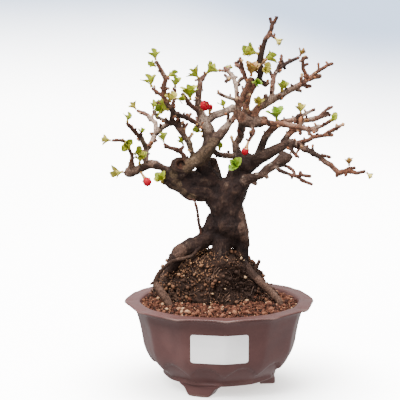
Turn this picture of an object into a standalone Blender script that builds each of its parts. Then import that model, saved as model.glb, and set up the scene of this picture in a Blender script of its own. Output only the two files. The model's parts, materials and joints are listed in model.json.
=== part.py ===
"""A flowering quince bonsai in its lobed clay bowl.

Lengths are metres and +Z is up. The front of the plant faces -Y. The tree is drawn as its front
view: every point of a limb is given in squares of a drawing grid, right of and above the spot under
the bowl's axis, with its own depth behind the trunk's plane and its own diameter in millimetres.
"""
import math
import random

import bmesh
import bpy
from mathutils import Matrix, Vector, noise
from mathutils.bvhtree import BVHTree

MM = 0.001
CLEARANCE = 0.35 * MM

# The front drawing: a square's side, the eye it is seen from, and the sight line through it.
SQUARE = 0.84 * MM
EYE = Vector((0.0, -1.244, 0.350))
EYE_TO_DRAWING = 1.276
SIGHT_PITCH = math.radians(8.85)
SIGHT_YAW = math.radians(0.754)
SIGHT_RIGHT = -20.0
SIGHT_UP = 183.0
TREE_DEPTH = 8.0 * MM

# Bowl, in millimetres: its lip, its wall, its floor, the drain hole and the bead that the feet carry.
RIM_RADIUS = 80.0
RIM_HEIGHT = 72.8
LIP_INNER_RADIUS = 67.6
FLOOR_TOP = 17.0
FLOOR_BOTTOM = 11.0
BEAD_BOTTOM = 9.5
BEAD_RADIUS = 47.8
DRAIN_RADIUS = 9.0
LOBES = 12
LOBE_START = math.radians(4.0)
LOBE_FLATNESS = 0.034
FEET = 3
FIRST_FOOT = math.radians(-22.0)

# Fill and mound.
GRIT_HEIGHT = 70.2 * MM
MOUND_BASE = 65.0 * MM
MOUND_TOP = 106.0 * MM
MOUND_CROWN = 5.0 * MM

# Limbs: (squares right, squares up, depth in mm, diameter in mm) from base to tip.
LIMBS = {
    "trunk": [
        (9, 137, 0, 10), (8.6, 143, 0, 20), (8.2, 150, 0, 28), (8, 158, 0, 32), (8, 168, 0, 28.5),
        (6, 180, 0, 30.5), (11, 192, 0, 27), (17, 203, 2, 22), (20, 213, 4, 19.5), (25, 222, 5, 18),
        (30, 228, 5, 15)],
    "left_root": [
        (-1, 164, -1, 18), (-9, 152.5, -2, 16), (-16, 143.5, -3, 15), (-27, 136.5, -4, 15),
        (-39, 130.5, -5, 13.5), (-46, 122.5, -5, 12), (-50, 111, -5, 8)],
    "rear_limb": [
        (20.5, 249, 18, 5.6), (24, 257, 30, 4.2), (20, 266, 44, 3.2), (25, 275, 58, 2.3)],
    "rear_limb_fork": [(22.4, 260.6, 35, 3.2), (28, 266, 46, 2.6), (34, 268, 56, 2)],
    "rear_stem": [
        (-13, 234, -5, 7.4), (-12, 243, 12, 5.2), (-15, 252, 30, 4.2), (-12, 262, 46, 3.2),
        (-17, 271, 60, 2.2)],
    "rear_stem_fork": [(-13.8, 256, 37, 3), (-20, 259, 48, 2.4), (-24, 266, 56, 1.9)],
    "middle_root": [
        (3, 157, -2, 20), (1.5, 146, -4, 15.5), (0.8, 134, -6, 13.6), (0.5, 122, -8, 13.4),
        (0, 108, -8, 10)],
    "right_root": [
        (14.5, 163, 0, 19), (19.6, 150, 0, 15.6), (21, 138, 1, 12.8), (21.3, 126, 2, 12),
        (21, 109, 3, 9)],
    "back_root": [(8, 152, 5, 15), (4, 138, 14, 12), (2, 112, 20, 9)],
    "bud_spur": [
        (31, 259, -8, 4), (33.7, 250, -11, 3.2), (31, 246, -13, 2.8), (28.4, 241.6, -14, 2.4)],
    "cut_root": [(22, 116, 3, 5), (31, 109, 2, 3), (34.5, 112, 1, 2.8), (39.5, 123, 0, 2.5)],
    "aerial_root": [
        (-38, 192, -9, 2.4), (-32, 185, -13, 1.8), (-26, 183, -14, 1.7), (-23, 174.5, -13, 1.7),
        (-21, 158.6, -10, 1.7), (-19.6, 155.5, -9, 2.5), (-19, 146, -6, 2)],
    "over_root": [
        (-15, 145, -8, 3.4), (-19, 136, -11, 2.6), (-28.5, 127, -14, 2.2), (-38, 124, -15, 2.2),
        (-48, 122, -15, 2.2), (-56, 116, -16, 2.2), (-62, 109, -17, 2.6), (-65, 101, -18, 5),
        (-61.5, 94.5, -19, 7), (-55, 85.5, -22, 7.4), (-48, 74, -25, 6.2)],
    "right_surface_root": [
        (22, 123, 0, 7.4), (27.5, 114, -4, 7.4), (34.5, 106, -8, 7.4), (42, 99.5, -11, 7.2),
        (51, 91, -14, 6.8), (59, 82, -18, 6), (63.5, 74, -20, 4.6)],
    "bulge_limb": [
        (-1, 182, -3, 19), (-12, 189.5, -5, 14), (-19, 190.5, -6, 15.5), (-27, 190.8, -7, 17),
        (-34, 194, -8, 14.4), (-40, 199, -8, 12.6), (-46, 206, -8, 12.4), (-48, 213, -8, 9)],
    "burl": [
        (-8, 197, -1, 14), (-17, 201, -4, 15), (-26, 204, -6, 15), (-34, 205, -7, 14),
        (-42, 208, -8, 11)],
    "knob": [(-45, 209, -6, 11), (-41, 216.5, -11, 14.6), (-40, 218, -17, 14)],
    "inner_limb": [
        (0, 188, 2, 20), (-9, 202, 0, 17.5), (-15.5, 212, -2, 14), (-18.5, 222, -5, 12),
        (-14, 232, -8, 12), (-9, 240, -7, 12)],
    "flaky_stump": [(-3, 201, 7, 13), (-6.5, 213, 10, 10.5), (-7.5, 224.5, 11, 8)],
    "diagonal": [
        (-47, 202, -9, 11), (-38.5, 210.5, -12, 10.6), (-27, 221, -16, 10.4), (-18, 228.5, -16, 10.4),
        (-10, 237, -12, 10.4), (-3, 245.5, -9, 9.4), (4, 253, -8, 8), (11, 261.5, -8, 5.2),
        (17, 269, -8, 4.8)],
    "stem": [
        (-12, 236, -9, 12), (-8.5, 242, -6, 12.4), (-11, 249.5, -5, 11.4), (-14.5, 258, -5, 10),
        (-18, 266, -5, 7.4), (-20.5, 272, -5, 5.8), (-22, 279, -5, 5), (-21.5, 289, -5, 4.6),
        (-20.3, 297, -5, 4.2), (-19.5, 303, -4, 3.6), (-14.8, 308.4, -2, 2.6)],
    "pale_limb": [
        (-14, 261, -5, 8.4), (-5, 268, -6, 7.2), (4, 270.5, -7, 7), (13, 275, -8, 7.2),
        (18, 271, -9, 8.6), (24, 263, -8, 10), (31, 259.5, -6, 10), (39, 261, -4, 9), (46, 264, 0, 7)],
    "cross_limb": [(-9, 234, -3, 6.4), (-1, 228, 0, 5.2), (8, 227.4, 2, 5), (22, 226, 5, 6.4)],
    "back_riser": [
        (19, 224, 11, 8.6), (15.3, 238, 17, 7), (20.5, 247, 20, 6.8), (21, 255, 14, 6.6),
        (22, 263, 0, 6.6)],
    "right_limb": [
        (23, 215, 3, 17), (37, 224, 0, 12), (48, 229.4, -2, 10), (59.5, 235, -2, 8.4),
        (68, 239.4, -1, 7), (74, 242, 0, 5.6)],
    "right_riser": [
        (63, 237, 0, 6.6), (66, 245, 3, 6), (71, 251, 6, 5.8), (78, 254.5, 9, 5), (81, 262, 15, 4.2)],
    "arch": [
        (38, 226, 3, 8.6), (42, 238, 5, 7), (45.5, 246, 4, 6.7), (50.5, 253, 2, 6.4),
        (57, 258.5, 1, 6), (63, 261.5, 2, 5.4), (72, 263, 5, 4.6), (81, 266.7, 10, 2.8),
        (94.7, 274, 17, 2)],
    "low_right": [
        (22, 201, -5, 10), (31, 205, -13, 8.6), (40.6, 208, -16, 7.6), (46, 213, -17, 7.6),
        (54, 218, -18, 7.6), (59.5, 221.3, -18, 8.6), (65.3, 225.6, -18, 11.6), (68, 229.5, -17, 10)],
    "jagged_corner": [(29, 205, -11, 7), (37, 198.4, -14, 3)],
    "low_right_stub": [(44, 211, -17, 4.4), (47.6, 204.5, -18.5, 3)],
    "low_twig": [
        (51, 217, -18, 4), (56.7, 215, -21, 3.4), (62.4, 211.6, -26, 3), (69.3, 208.7, -32, 2.8),
        (76.8, 206.6, -38, 2.6), (82, 207.8, -43, 2.4), (91, 206.7, -50, 2)],
    "low_twig_upper": [
        (57, 216.6, -20, 3), (63, 217.6, -18, 2.6), (68.5, 216.4, -20, 2.4), (72.8, 213, -26, 2.2),
        (75.5, 207.6, -36.5, 2)],
    "low_twig_fork": [(76, 206.8, -37.5, 2.4), (83.6, 202, -42, 2.3), (92.3, 198.4, -50, 2)],
    "low_twig_spur": [(71, 208, -33.5, 2.2), (72.4, 204, -34.5, 1.7)],
    "low_twig_spur_up": [(79.5, 207.2, -40.5, 2.2), (80.2, 211, -42, 1.7)],
    "far_right": [
        (66, 238, -1, 6.6), (73.6, 238.6, -4, 5.6), (81, 235.7, -8, 5.3), (90, 231.6, -13, 5.1),
        (99.4, 226.5, -18, 4.8), (105, 221.3, -21, 4.7), (111, 218, -24, 4.5), (115.5, 212.5, -26, 4.2),
        (120, 210, -28, 3.7), (125.3, 212.2, -30, 3.5), (129, 215, -31, 2.8), (136, 215.2, -34, 2)],
    "far_right_fork": [
        (124, 211.6, -29.5, 3), (130, 211.4, -32, 2.9), (137, 210, -35, 2.8), (145.4, 211.8, -38, 2.2)],
    "far_right_spur_a": [(117, 211, -27, 2.8), (116.6, 205.6, -27.5, 1.9)],
    "far_right_spur_b": [(125.3, 212, -30, 2.6), (126, 207, -31.5, 1.8)],
    "far_right_spur_c": [(91, 231, -13.5, 3.2), (93.4, 235, -15, 2.2)],
    "far_right_spur_d": [(100, 226.4, -18.3, 3), (104, 227.6, -21, 2.3), (111, 225.4, -24, 2)],
    "under_spur": [(67, 239, -2, 3.8), (71.3, 233.4, -6, 2.9), (75.3, 228.4, -8.5, 2.6),
                   (79.3, 225.4, -10, 2.2)],
    "right_spray": [
        (71, 239, -3, 4.4), (79.8, 241, -6, 3.7), (88, 242.6, -9, 3.4), (93, 246, -11, 3.3),
        (104, 247.6, -14, 3), (109, 251.2, -15, 2.8), (119.5, 256.4, -17, 2.3)],
    "right_spray_fork": [(102, 247.2, -13.6, 2.6), (112.6, 248.2, -18, 2)],
    "red_limb": [
        (42, 261, -5, 6), (54, 259.4, -12, 5), (63.7, 258.7, -20, 4.6), (75, 256.4, -28, 4.5),
        (84, 254.7, -34, 4.3), (91, 253.5, -38, 4), (98, 252.4, -42, 3)],
    "red_limb_spur_a": [(80, 255.4, -31.5, 2.8), (80.4, 249, -32.5, 1.9)],
    "red_limb_spur_b": [(88.6, 254, -36.5, 2.6), (89.4, 247.6, -38, 1.8)],
    "red_limb_fork": [
        (90, 253.7, -37.5, 3.2), (96.6, 256, -41, 2.8), (102.3, 257, -44, 2.6), (107.5, 260.4, -46, 2.4),
        (114, 264.5, -48, 2)],
    "cut_limb": [
        (76, 262.4, 10, 4.6), (82.6, 262.4, 18, 4.4), (89.5, 263, 25, 4.3), (97, 265, 33, 4.2),
        (109, 269.6, 46, 4)],
    "cut_limb_twig": [(98, 265.4, 34, 2.8), (106, 273, 40, 2.1), (112.5, 276.5, 45, 1.8)],
    "middle_stub": [(47, 266, 2, 4.4), (55, 270.4, 8, 3), (62, 274.6, 14, 2.4), (69.4, 277.7, 20, 2)],
    "upper_right": [
        (31, 264, -3, 8.6), (38.5, 275, 0, 7.2), (47.6, 280.5, 6, 6.6), (60.8, 287.4, 15, 6),
        (67, 291.4, 20, 5.8), (75, 296, 26, 5.4), (81, 299, 31, 5), (87.5, 303.6, 35.5, 4.5),
        (94, 306.2, 40, 4), (100.4, 307, 45, 3.5)],
    "upper_right_fork": [
        (88, 304, 36, 3.6), (97, 311, 38, 3.2), (108, 318, 42, 2.9), (113, 319.8, 44, 2.5)],
    "upper_right_low": [(80, 298.4, 30, 3.4), (85.5, 297.2, 36, 3), (91.3, 296.6, 41, 2.5)],
    "upper_right_spur": [(73, 294.6, 25, 3), (81.5, 291.7, 30, 2.1)],
    "upper_right_stub": [(81.6, 299.6, 31.5, 3.2), (80.4, 306, 30, 2.4)],
    "high_twig": [
        (86.4, 303, 34.6, 3.8), (85.6, 309, 34, 3.3), (83, 314.6, 33, 3), (82.6, 326.2, 31, 2.4)],
    "high_twig_side": [(82.8, 317, 32.6, 2.4), (87.8, 319.2, 36, 1.8)],
    "high_twig_tip": [(82.7, 323.4, 31.5, 2.2), (86.6, 326, 33, 1.8)],
    "back_twig": [
        (48, 281, 7, 5.4), (51.6, 288.6, 13, 4.4), (52.8, 300, 22, 3.8), (53.6, 305, 26, 3.6),
        (56, 311, 31, 3.5), (64.8, 319, 43, 3.3), (72, 322.5, 51, 3.1), (79, 325.6, 59, 2.6)],
    "back_twig_fork": [(53.4, 304, 25.2, 3.2), (50.4, 310.4, 27, 2.7), (45.3, 318.4, 24, 2.1)],
    "back_twig_fork_tip": [(48.6, 312.8, 26, 2.3), (48.8, 319.8, 28.5, 1.8)],
    "back_twig_spur_a": [(57, 312.2, 32.5, 2.8), (59, 319, 34, 2.1)],
    "back_twig_spur_b": [(61.5, 316, 38.5, 2.8), (62.6, 322.6, 40.5, 2.1)],
    "back_twig_spur_c": [(63.6, 318, 41.4, 2.6), (65, 313.8, 44, 1.8)],
    "cut_stub": [(44.6, 278.6, 4, 4.4), (46, 288.8, 0, 3.4)],
    "brown_limb": [
        (18, 268, -9, 7.2), (18.4, 274, -11, 6), (21, 283, -14, 5.4), (25.6, 292.6, -16, 5),
        (29.6, 300, -17, 4.4), (31, 306, -17, 3.4)],
    "leader": [
        (27, 264, -4, 7.4), (26, 276, -1, 6), (28.7, 288, 0, 5.2), (35, 299, -1, 4.8),
        (40, 305.4, -2, 5.2), (41, 311, -3.5, 5.4), (39.2, 320.6, -5, 5.3), (42, 332, -7, 4.6),
        (45.4, 343.6, -9, 3.8), (48.8, 348.4, -9, 3.4), (52, 355, -10, 3), (52.6, 359.6, -10, 2.9)],
    "leader_tip_left": [(52.6, 358.4, -10, 2.6), (50.6, 362, -9, 2.8), (50.2, 365.4, -8.6, 1.8)],
    "leader_tip_right": [(52.6, 358.4, -10, 2.7), (55, 362.4, -11.6, 2.5), (57.2, 366, -13, 2.1)],
    "leader_spur": [(47, 346.6, -9, 2.8), (51.6, 347.8, -12, 2.1), (54.4, 345.4, -13.4, 1.9)],
    "leader_knob": [(39, 303.6, -1.6, 4.6), (44, 299.6, -5, 4.8), (46.8, 296.6, -6.4, 3)],
    "pale_twig": [
        (18, 272, -4, 5.4), (17, 286.3, 8, 3.6), (15.8, 297, 17, 3.3), (13.2, 307.2, 26, 3.1),
        (8.4, 311, 30, 2.9), (3.8, 315.5, 35, 2.3)],
    "pale_twig_low": [(13.6, 305.6, 25, 2.8), (8.6, 304.6, 28, 2.6), (4.4, 308.2, 30.5, 2)],
    "pale_twig_low_tip": [(9.2, 304.8, 27.6, 2.3), (5.6, 300.8, 29, 1.8)],
    "pale_twig_spur": [(15.9, 296, 16.2, 2.8), (19.6, 303, 17, 2.2), (23.6, 305.4, 15, 1.9)],
    "back_leaner": [
        (28.6, 298.6, -16, 3.8), (26.4, 303.4, -11, 3), (20, 315.4, 6, 2.6), (15.5, 320.6, 16, 2.1)],
    "front_leaner": [(26.6, 303, -11.6, 2.9), (23, 313.7, -13, 2.6), (19.8, 325.2, -18, 2.2)],
    "front_twig": [
        (19.6, 278, -12, 3.8), (14.7, 283.4, -16, 2.8), (4.4, 286.8, -25, 2.4), (-1.4, 289.7, -30, 2)],
    "left_front_limb": [
        (-14.6, 255, -6, 5.4), (-20, 257.8, -12, 4.2), (-32, 265, -29, 3.8), (-38, 266.7, -38, 3.6),
        (-44, 270.2, -46, 3)],
    "left_stub": [(-19.8, 270, -6, 4.8), (-29, 277.7, -13, 3.6), (-38, 289.7, -21, 2.9)],
    "left_riser": [
        (-26, 221, -15, 6.4), (-27, 228, -17, 5.4), (-31.5, 241, -22, 4.8), (-40, 253, -28, 4.8),
        (-48.4, 263.6, -33, 4.6), (-47, 271.6, -35, 4.8), (-53, 279, -36.5, 4.7),
        (-56.5, 286.6, -38, 4.6), (-56, 297, -40, 4.2), (-54.4, 304, -41, 3.7), (-58.7, 312.7, -43, 3.1),
        (-64, 322, -45, 2.4)],
    "left_companion": [(-40.6, 254, -27.4, 4), (-41.4, 264, -29, 3.3), (-46.4, 273.6, -34.6, 3)],
    "left_side_twig": [(-56, 286, -37.6, 3.4), (-62, 290, -38, 2.7), (-68, 295, -38, 2)],
    "left_inner_twig": [(-48, 274, -35, 3.4), (-45.8, 284, -31.6, 2.4), (-45, 294.3, -28, 1.9)],
    "left_spur": [(-36, 248, -25, 3.4), (-35.8, 254.6, -20.6, 2.4), (-32.3, 260, -17, 1.9)],
    "left_spur_fork": [(-35.8, 253.4, -21.4, 2.2), (-36.2, 259.4, -22.4, 1.7)],
    "gap_twig": [
        (-33, 216, -13, 4.4), (-36, 227, -18, 3.5), (-41, 233, -22, 3.2), (-50.7, 235.2, -30, 2.7),
        (-55.8, 239, -34, 2.1)],
    "gap_twig_fork": [(-40.4, 232.4, -21.4, 3), (-36, 237, -21, 2.2)],
    "bud_twig": [
        (-45.6, 259, -31.4, 3.6), (-54.7, 262.2, -38, 2.8), (-62.2, 265.6, -43, 2.5),
        (-66.8, 272.5, -47, 2)],
    "left_outer_stub": [(-54, 280, -37, 3), (-60, 278, -38.4, 2.4), (-63.6, 281, -39, 1.9)],
    "low_left": [
        (-44, 207, -7, 9.4), (-51, 213, -6, 6.8), (-57.6, 215, -5, 6), (-64.5, 218, -4, 8.8),
        (-70.2, 218.8, -3, 8.8), (-76, 216.4, -2, 7.4), (-81, 213.6, -2, 7.6), (-87, 210.6, -2, 9.6),
        (-92, 210.6, -2, 9.8), (-95.5, 211.4, -2, 6.6)],
    "low_left_stub": [(-90, 211, -2, 5.6), (-89.8, 221.4, -3, 3.4)],
    "gnarled_under": [
        (-55.6, 213, -5, 5.4), (-53, 204, -5, 6.4), (-49, 198, -6, 8), (-41, 195, -7, 8.6)],
    "gnarled_spur": [(-52.6, 203, -5, 4.4), (-57.4, 199, -6, 2.8)],
    "pale_left": [
        (-72, 217, -2, 6.6), (-74.8, 225, 4, 5), (-73.7, 232, 9, 4.6), (-67.4, 243, 17, 4.2),
        (-64.4, 251, 21, 4), (-64.2, 259.6, 26, 3.6), (-72.5, 268, 33, 3.1), (-83, 272.5, 41, 2.3)],
    "pale_left_cross": [(-64.6, 249, 20, 4.6), (-57.6, 256, 14, 4.5), (-47.6, 261, 0, 3.8)],
    "left_leaner": [
        (-73.6, 235, 10.4, 4.6), (-79.4, 245.5, -8, 3.6), (-84, 250, -16, 3.2), (-93.2, 260, -30, 2.3)],
    "leafy_left": [
        (-86, 212, -3, 5), (-88, 221, -6, 3.3), (-88.2, 228, -8, 3), (-94.3, 241.2, -14, 2.7),
        (-99, 242.8, -16.6, 2.5), (-108, 242.4, -21, 1.9)],
}
# How much old wood and young twigs swell and pinch, as a share of the diameter, and how closely.
OLD_GNARL = 0.28
YOUNG_GNARL = 0.16
OLD_WOOD = 8
GNARL_PER_METRE = 170
# Corners nearer to each other than this are one corner.
WELD = 0.004 * MM
# Young twigs stay this thick to their tips, and only the hanging roots are thinner.
LEAST_TWIG = 2.3 * MM
HAIR_ROOTS = ("aerial_root",)
ROOTS = ("left_root", "middle_root", "right_root", "back_root", "cut_root", "over_root",
         "right_surface_root")

# Leaf tufts: foot (squares right, up, depth in mm), lean (right, up, back), blade length in mm, blades,
# and colour.
TUFTS = [
    ((-68, 295, -38), (-0.3, 1, -0.2), 9, 3, "green"),
    ((-45, 294.3, -28), (0.05, 1, -0.2), 7.5, 3, "green"),
    ((-54.6, 305, -41), (1, 0.6, 0.1), 6, 2, "green"),
    ((-60, 314.4, -43.6), (-0.9, 0.5, -0.1), 4.6, 2, "green"),
    ((-64, 322, -45), (-0.2, 1, 0), 6.5, 3, "green"),
    ((-29, 277.7, -13), (-0.1, 1, -0.1), 11, 4, "green"),
    ((-47, 271.6, -35), (-0.8, 0.3, -0.6), 11, 4, "green"),
    ((-51, 277, -36), (0.2, 1, -0.7), 7.5, 3, "yellow"),
    ((-45.8, 284, -31.6), (1, 0.1, -0.3), 6, 2, "green"),
    ((-66.8, 272.5, -47), (0.1, 1, -0.1), 5, 2, "green"),
    ((-83, 272.5, 41), (-0.6, 0.8, 0.1), 5, 2, "yellow"),
    ((-93.2, 260, -30), (0.3, 1, -0.2), 6, 2, "green"),
    ((-79.4, 245.5, -8), (0.2, 1, -0.5), 5, 2, "green"),
    ((-55.8, 239, -34), (-0.2, 1, 0), 6.6, 3, "green"),
    ((-36, 237, -21), (-0.4, 0.9, -0.2), 5.4, 2, "green"),
    ((-94.3, 241.2, -14), (0.2, -0.2, -1), 8, 3, "green"),
    ((-88.2, 228, -8), (0.8, 0.5, -0.5), 6.4, 3, "green"),
    ((-108, 242.4, -21), (-1, 0.2, -0.1), 6, 2, "yellow"),
    ((-81, 213.6, -2), (0.1, 1, -0.35), 10, 3, "green"),
    ((-95.5, 211.4, -2), (-1, -0.1, -0.4), 9, 2, "yellow"),
    ((-57.4, 199, -6), (-0.2, 1, -0.9), 9, 3, "green"),
    ((-19.5, 303, -4), (-0.8, 0.9, -0.2), 8.5, 3, "green"),
    ((-14.8, 308.4, -2), (0.8, 0.8, -0.1), 10.5, 4, "green"),
    ((4, 270.5, -7), (-0.1, 1, -0.4), 5, 2, "green"),
    ((-11, 249.5, -5), (-0.9, 0.3, -0.6), 5.4, 2, "green"),
    ((-1, 228, 0), (0.1, 1, -0.2), 5.4, 2, "green"),
    ((20, 213, 4), (-0.3, 0.5, -1), 9, 3, "bright"),
    ((41.5, 328, -6.5), (-1, 0.4, -0.3), 12, 4, "green"),
    ((39.2, 320.6, -5), (1, 0.5, 0.1), 9, 3, "green"),
    ((31, 306, -17), (0.1, 1, -0.2), 8.5, 3, "bronze"),
    ((29.6, 300, -17), (0.9, 0.2, -0.6), 5.6, 2, "bright"),
    ((41, 311, -3.5), (0.5, 0.4, -0.9), 6, 2, "yellow"),
    ((60.8, 287.4, 15), (0.2, 1, -0.2), 7.4, 3, "green"),
    ((57, 258.5, 1), (-0.1, 1, -0.3), 12, 3, "bright"),
    ((81, 266.7, 10), (-0.1, 1, -0.1), 7, 3, "yellow"),
    ((38.5, 275, 0), (0, 0.8, -0.8), 5.6, 2, "yellow"),
    ((107.5, 260.4, -46), (0.5, 0.5, -0.7), 6, 2, "green"),
    ((129, 215, -31), (0, 1, -0.1), 4.4, 2, "bronze"),
    ((145.4, 211.8, -38), (0.6, -0.6, -0.1), 4.6, 2, "yellow"),
    ((79, 325.6, 59), (0.5, 0.9, 0.1), 5, 2, "bronze"),
    ((54.4, 345.4, -13.4), (0.6, -0.5, -0.2), 4.6, 2, "yellow"),
    ((25, 275, 58), (0.1, 0.8, 1), 7, 3, "green"),
    ((-17, 271, 60), (-0.2, 0.8, 1), 6.6, 3, "green"),
    ((8.4, 311, 30), (0.1, 0.5, 1), 6, 2, "green"),
]

COLOURS = {
    "bark": (0.155, 0.105, 0.078, 1), "clay": (0.125, 0.075, 0.068, 1), "grit": (0.20, 0.085, 0.045, 1),
    "soil": (0.05, 0.032, 0.022, 1), "label": (0.82, 0.81, 0.82, 1), "mesh": (0.02, 0.02, 0.02, 1),
    "green": (0.28, 0.42, 0.09, 1), "bright": (0.25, 0.50, 0.07, 1), "yellow": (0.55, 0.52, 0.17, 1),
    "bronze": (0.42, 0.26, 0.13, 1), "petal": (0.62, 0.012, 0.025, 1), "stamen": (0.85, 0.62, 0.22, 1),
    "sepal": (0.45, 0.42, 0.16, 1)}
ROUGHNESS = {"clay": 0.5, "petal": 0.45, "label": 0.45}


def material(name):
    made = bpy.data.materials.get(name) or bpy.data.materials.new(name)
    made.use_nodes = True
    shader = made.node_tree.nodes["Principled BSDF"]
    shader.inputs["Base Color"].default_value = COLOURS[name]
    shader.inputs["Roughness"].default_value = ROUGHNESS.get(name, 0.75)
    shader.inputs["Metallic"].default_value = 0.0
    return made


def place(right, up, depth):
    """The point that shows at this place of the front drawing, at a depth behind the bowl's axis."""
    level = math.cos(SIGHT_PITCH)
    ahead = Vector((-math.sin(SIGHT_YAW) * level, math.cos(SIGHT_YAW) * level, -math.sin(SIGHT_PITCH)))
    side = Vector((math.cos(SIGHT_YAW), math.sin(SIGHT_YAW), 0))
    ray = ahead * EYE_TO_DRAWING + side * (right - SIGHT_RIGHT) * SQUARE
    ray += side.cross(ahead) * (up - SIGHT_UP) * SQUARE
    return EYE + ray * ((depth - EYE.y) / ray.y)


def tree_point(right, up, depth_mm):
    return place(right, up, depth_mm * MM + TREE_DEPTH)


def solid(name, bm, colour):
    """Makes an object of a closed mesh, its faces turned out."""
    bmesh.ops.recalc_face_normals(bm, faces=bm.faces)
    mesh = bpy.data.meshes.new(name)
    bm.to_mesh(mesh)
    bm.free()
    mesh.materials.append(material(colour))
    made = bpy.data.objects.new(name, mesh)
    bpy.context.scene.collection.objects.link(made)
    return made


def combine(target, others, operation):
    """Joins the other objects to the target, or cuts it by them, and removes them."""
    group = bpy.data.collections.new("others")
    for other in others:
        bpy.context.scene.collection.objects.unlink(other)
        group.objects.link(other)
    bpy.context.scene.collection.children.link(group)
    change = target.modifiers.new("combine", "BOOLEAN")
    change.operation = operation
    change.solver = "MANIFOLD"
    change.operand_type = "COLLECTION"
    change.collection = group
    graph = bpy.context.evaluated_depsgraph_get()
    result = bpy.data.meshes.new_from_object(target.evaluated_get(graph))
    target.modifiers.clear()
    target.data = result
    for other in others:
        bpy.data.objects.remove(other)
    bpy.data.collections.remove(group)
    return target


def keep_largest(target):
    """Drops the loose scraps that a cut leaves, and the specks of edges shorter than the weld."""
    bm = bmesh.new()
    bm.from_mesh(target.data)
    bmesh.ops.remove_doubles(bm, verts=bm.verts, dist=WELD)
    bmesh.ops.triangulate(bm, faces=bm.faces)
    left = set(bm.verts)
    groups = []
    while left:
        group, todo = set(), [left.pop()]
        while todo:
            point = todo.pop()
            group.add(point)
            for edge in point.link_edges:
                other = edge.other_vert(point)
                if other in left:
                    left.discard(other)
                    todo.append(other)
        groups.append(group)
    groups.sort(key=len, reverse=True)
    for group in groups[1:]:
        bmesh.ops.delete(bm, geom=list(group), context="VERTS")
    bm.to_mesh(target.data)
    bm.free()
    return target


def sides_for(diameter):
    for least, sides in ((12 * MM, 9), (7 * MM, 7), (2.4 * MM, 5)):
        if diameter >= least:
            return sides
    return 4


def tube(bm, points, diameters, gnarl=0.0, sides=0):
    """A closed tapered tube along points, its surface swollen and pinched like old wood by gnarl."""
    sides = sides or sides_for(max(diameters))
    rings = []
    across = None
    for i, (point, diameter) in enumerate(zip(points, diameters)):
        before = points[max(i - 1, 0)]
        after = points[min(i + 1, len(points) - 1)]
        along = (after - before).normalized()
        if across is None:
            across = along.orthogonal().normalized()
        across = (across - along * across.dot(along)).normalized()
        other = along.cross(across)
        ring = []
        for k in range(sides):
            turn = 2 * math.pi * k / sides
            out = across * math.cos(turn) + other * math.sin(turn)
            swell = 1 + gnarl * noise.noise((point + out * diameter * 0.5) * GNARL_PER_METRE)
            ring.append(bm.verts.new(point + out * diameter * 0.5 * swell))
        rings.append(ring)
    for low, high in zip(rings, rings[1:]):
        for k in range(sides):
            after = (k + 1) % sides
            bm.faces.new((low[k], low[after], high[after]))
            bm.faces.new((low[k], high[after], high[k]))
    bm.faces.new(rings[0][::-1])
    bm.faces.new(rings[-1])


def limb_tube(name, swell=0.0):
    """One limb as an object, fatter all round by swell where it is a cutter."""
    row = LIMBS[name]
    points = [tree_point(*entry[:3]) for entry in row]
    least = 0.0 if name in HAIR_ROOTS else LEAST_TWIG
    diameters = [max(entry[3] * MM, least) + 2 * swell for entry in row]
    if swell:
        points[-1] = points[-1] + (points[-1] - points[-2]).normalized() * swell
    bm = bmesh.new()
    sides = sides_for(max(entry[3] for entry in row) * MM)
    tube(bm, points, diameters, OLD_GNARL if row[0][3] > OLD_WOOD else YOUNG_GNARL, sides)
    return solid(name, bm, "bark")


def make_tree():
    names = list(LIMBS)
    tree = limb_tube(names[0])
    tree.name = "tree"
    others = [limb_tube(name) for name in names[1:]]
    combine(tree, others, "UNION")
    return keep_largest(tree)


def pot_lobe(angle):
    """How far the wall falls in from the ridges' radius, as a share, at an angle from the front."""
    return LOBE_FLATNESS * abs(math.sin(LOBES * (angle - LOBE_START) / 2)) ** 0.8


def around(angle, radius, height):
    return Vector((radius * math.sin(angle), -radius * math.cos(angle), height))


# The bowl's section in millimetres, from the drain hole's lower edge out, up, over the lip and down
# inside: radius, height, and how much of the lobes it takes.
POT_SECTION = [
    (DRAIN_RADIUS, FLOOR_BOTTOM, 0), (43, FLOOR_BOTTOM, 0.3), (44, BEAD_BOTTOM, 0.4),
    (47.4, BEAD_BOTTOM, 0.5), (BEAD_RADIUS, 12.2, 0.6), (52, 16.4, 0.8), (58.8, 24, 1.0),
    (63, 31.5, 1.1), (64.9, 39, 1.1), (66.3, 47, 1.1), (68, 55, 1.0), (70.2, 62.4, 0.9),
    (72.4, 67.4, 0.8), (75.6, 70, 0.6), (79.4, 70.9, 0.5), (RIM_RADIUS, 71.9, 0.5),
    (78.8, RIM_HEIGHT, 0.5), (LIP_INNER_RADIUS, RIM_HEIGHT, 0.5), (66.3, 70.4, 0.5),
    (64, 60, 0.9), (61.4, 46, 1.0), (59.4, 35, 1.0), (53.6, 25, 0.9), (44, 18, 0.6),
    (DRAIN_RADIUS, FLOOR_TOP, 0)]
POT_COLUMNS = 24
# A foot's outline seen from outside, in millimetres sideways and up, and how deep it is cut.
FOOT_OUTLINE = [(-21, 13), (-18.5, 8.6), (-13, 5.8), (-10.6, 2.4), (-7, 0), (7, 0), (10.6, 2.4),
                (13, 5.8), (18.5, 8.6), (21, 13)]
FOOT_INSIDE = 34 * MM
FOOT_OUTSIDE = 46.5 * MM


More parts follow.
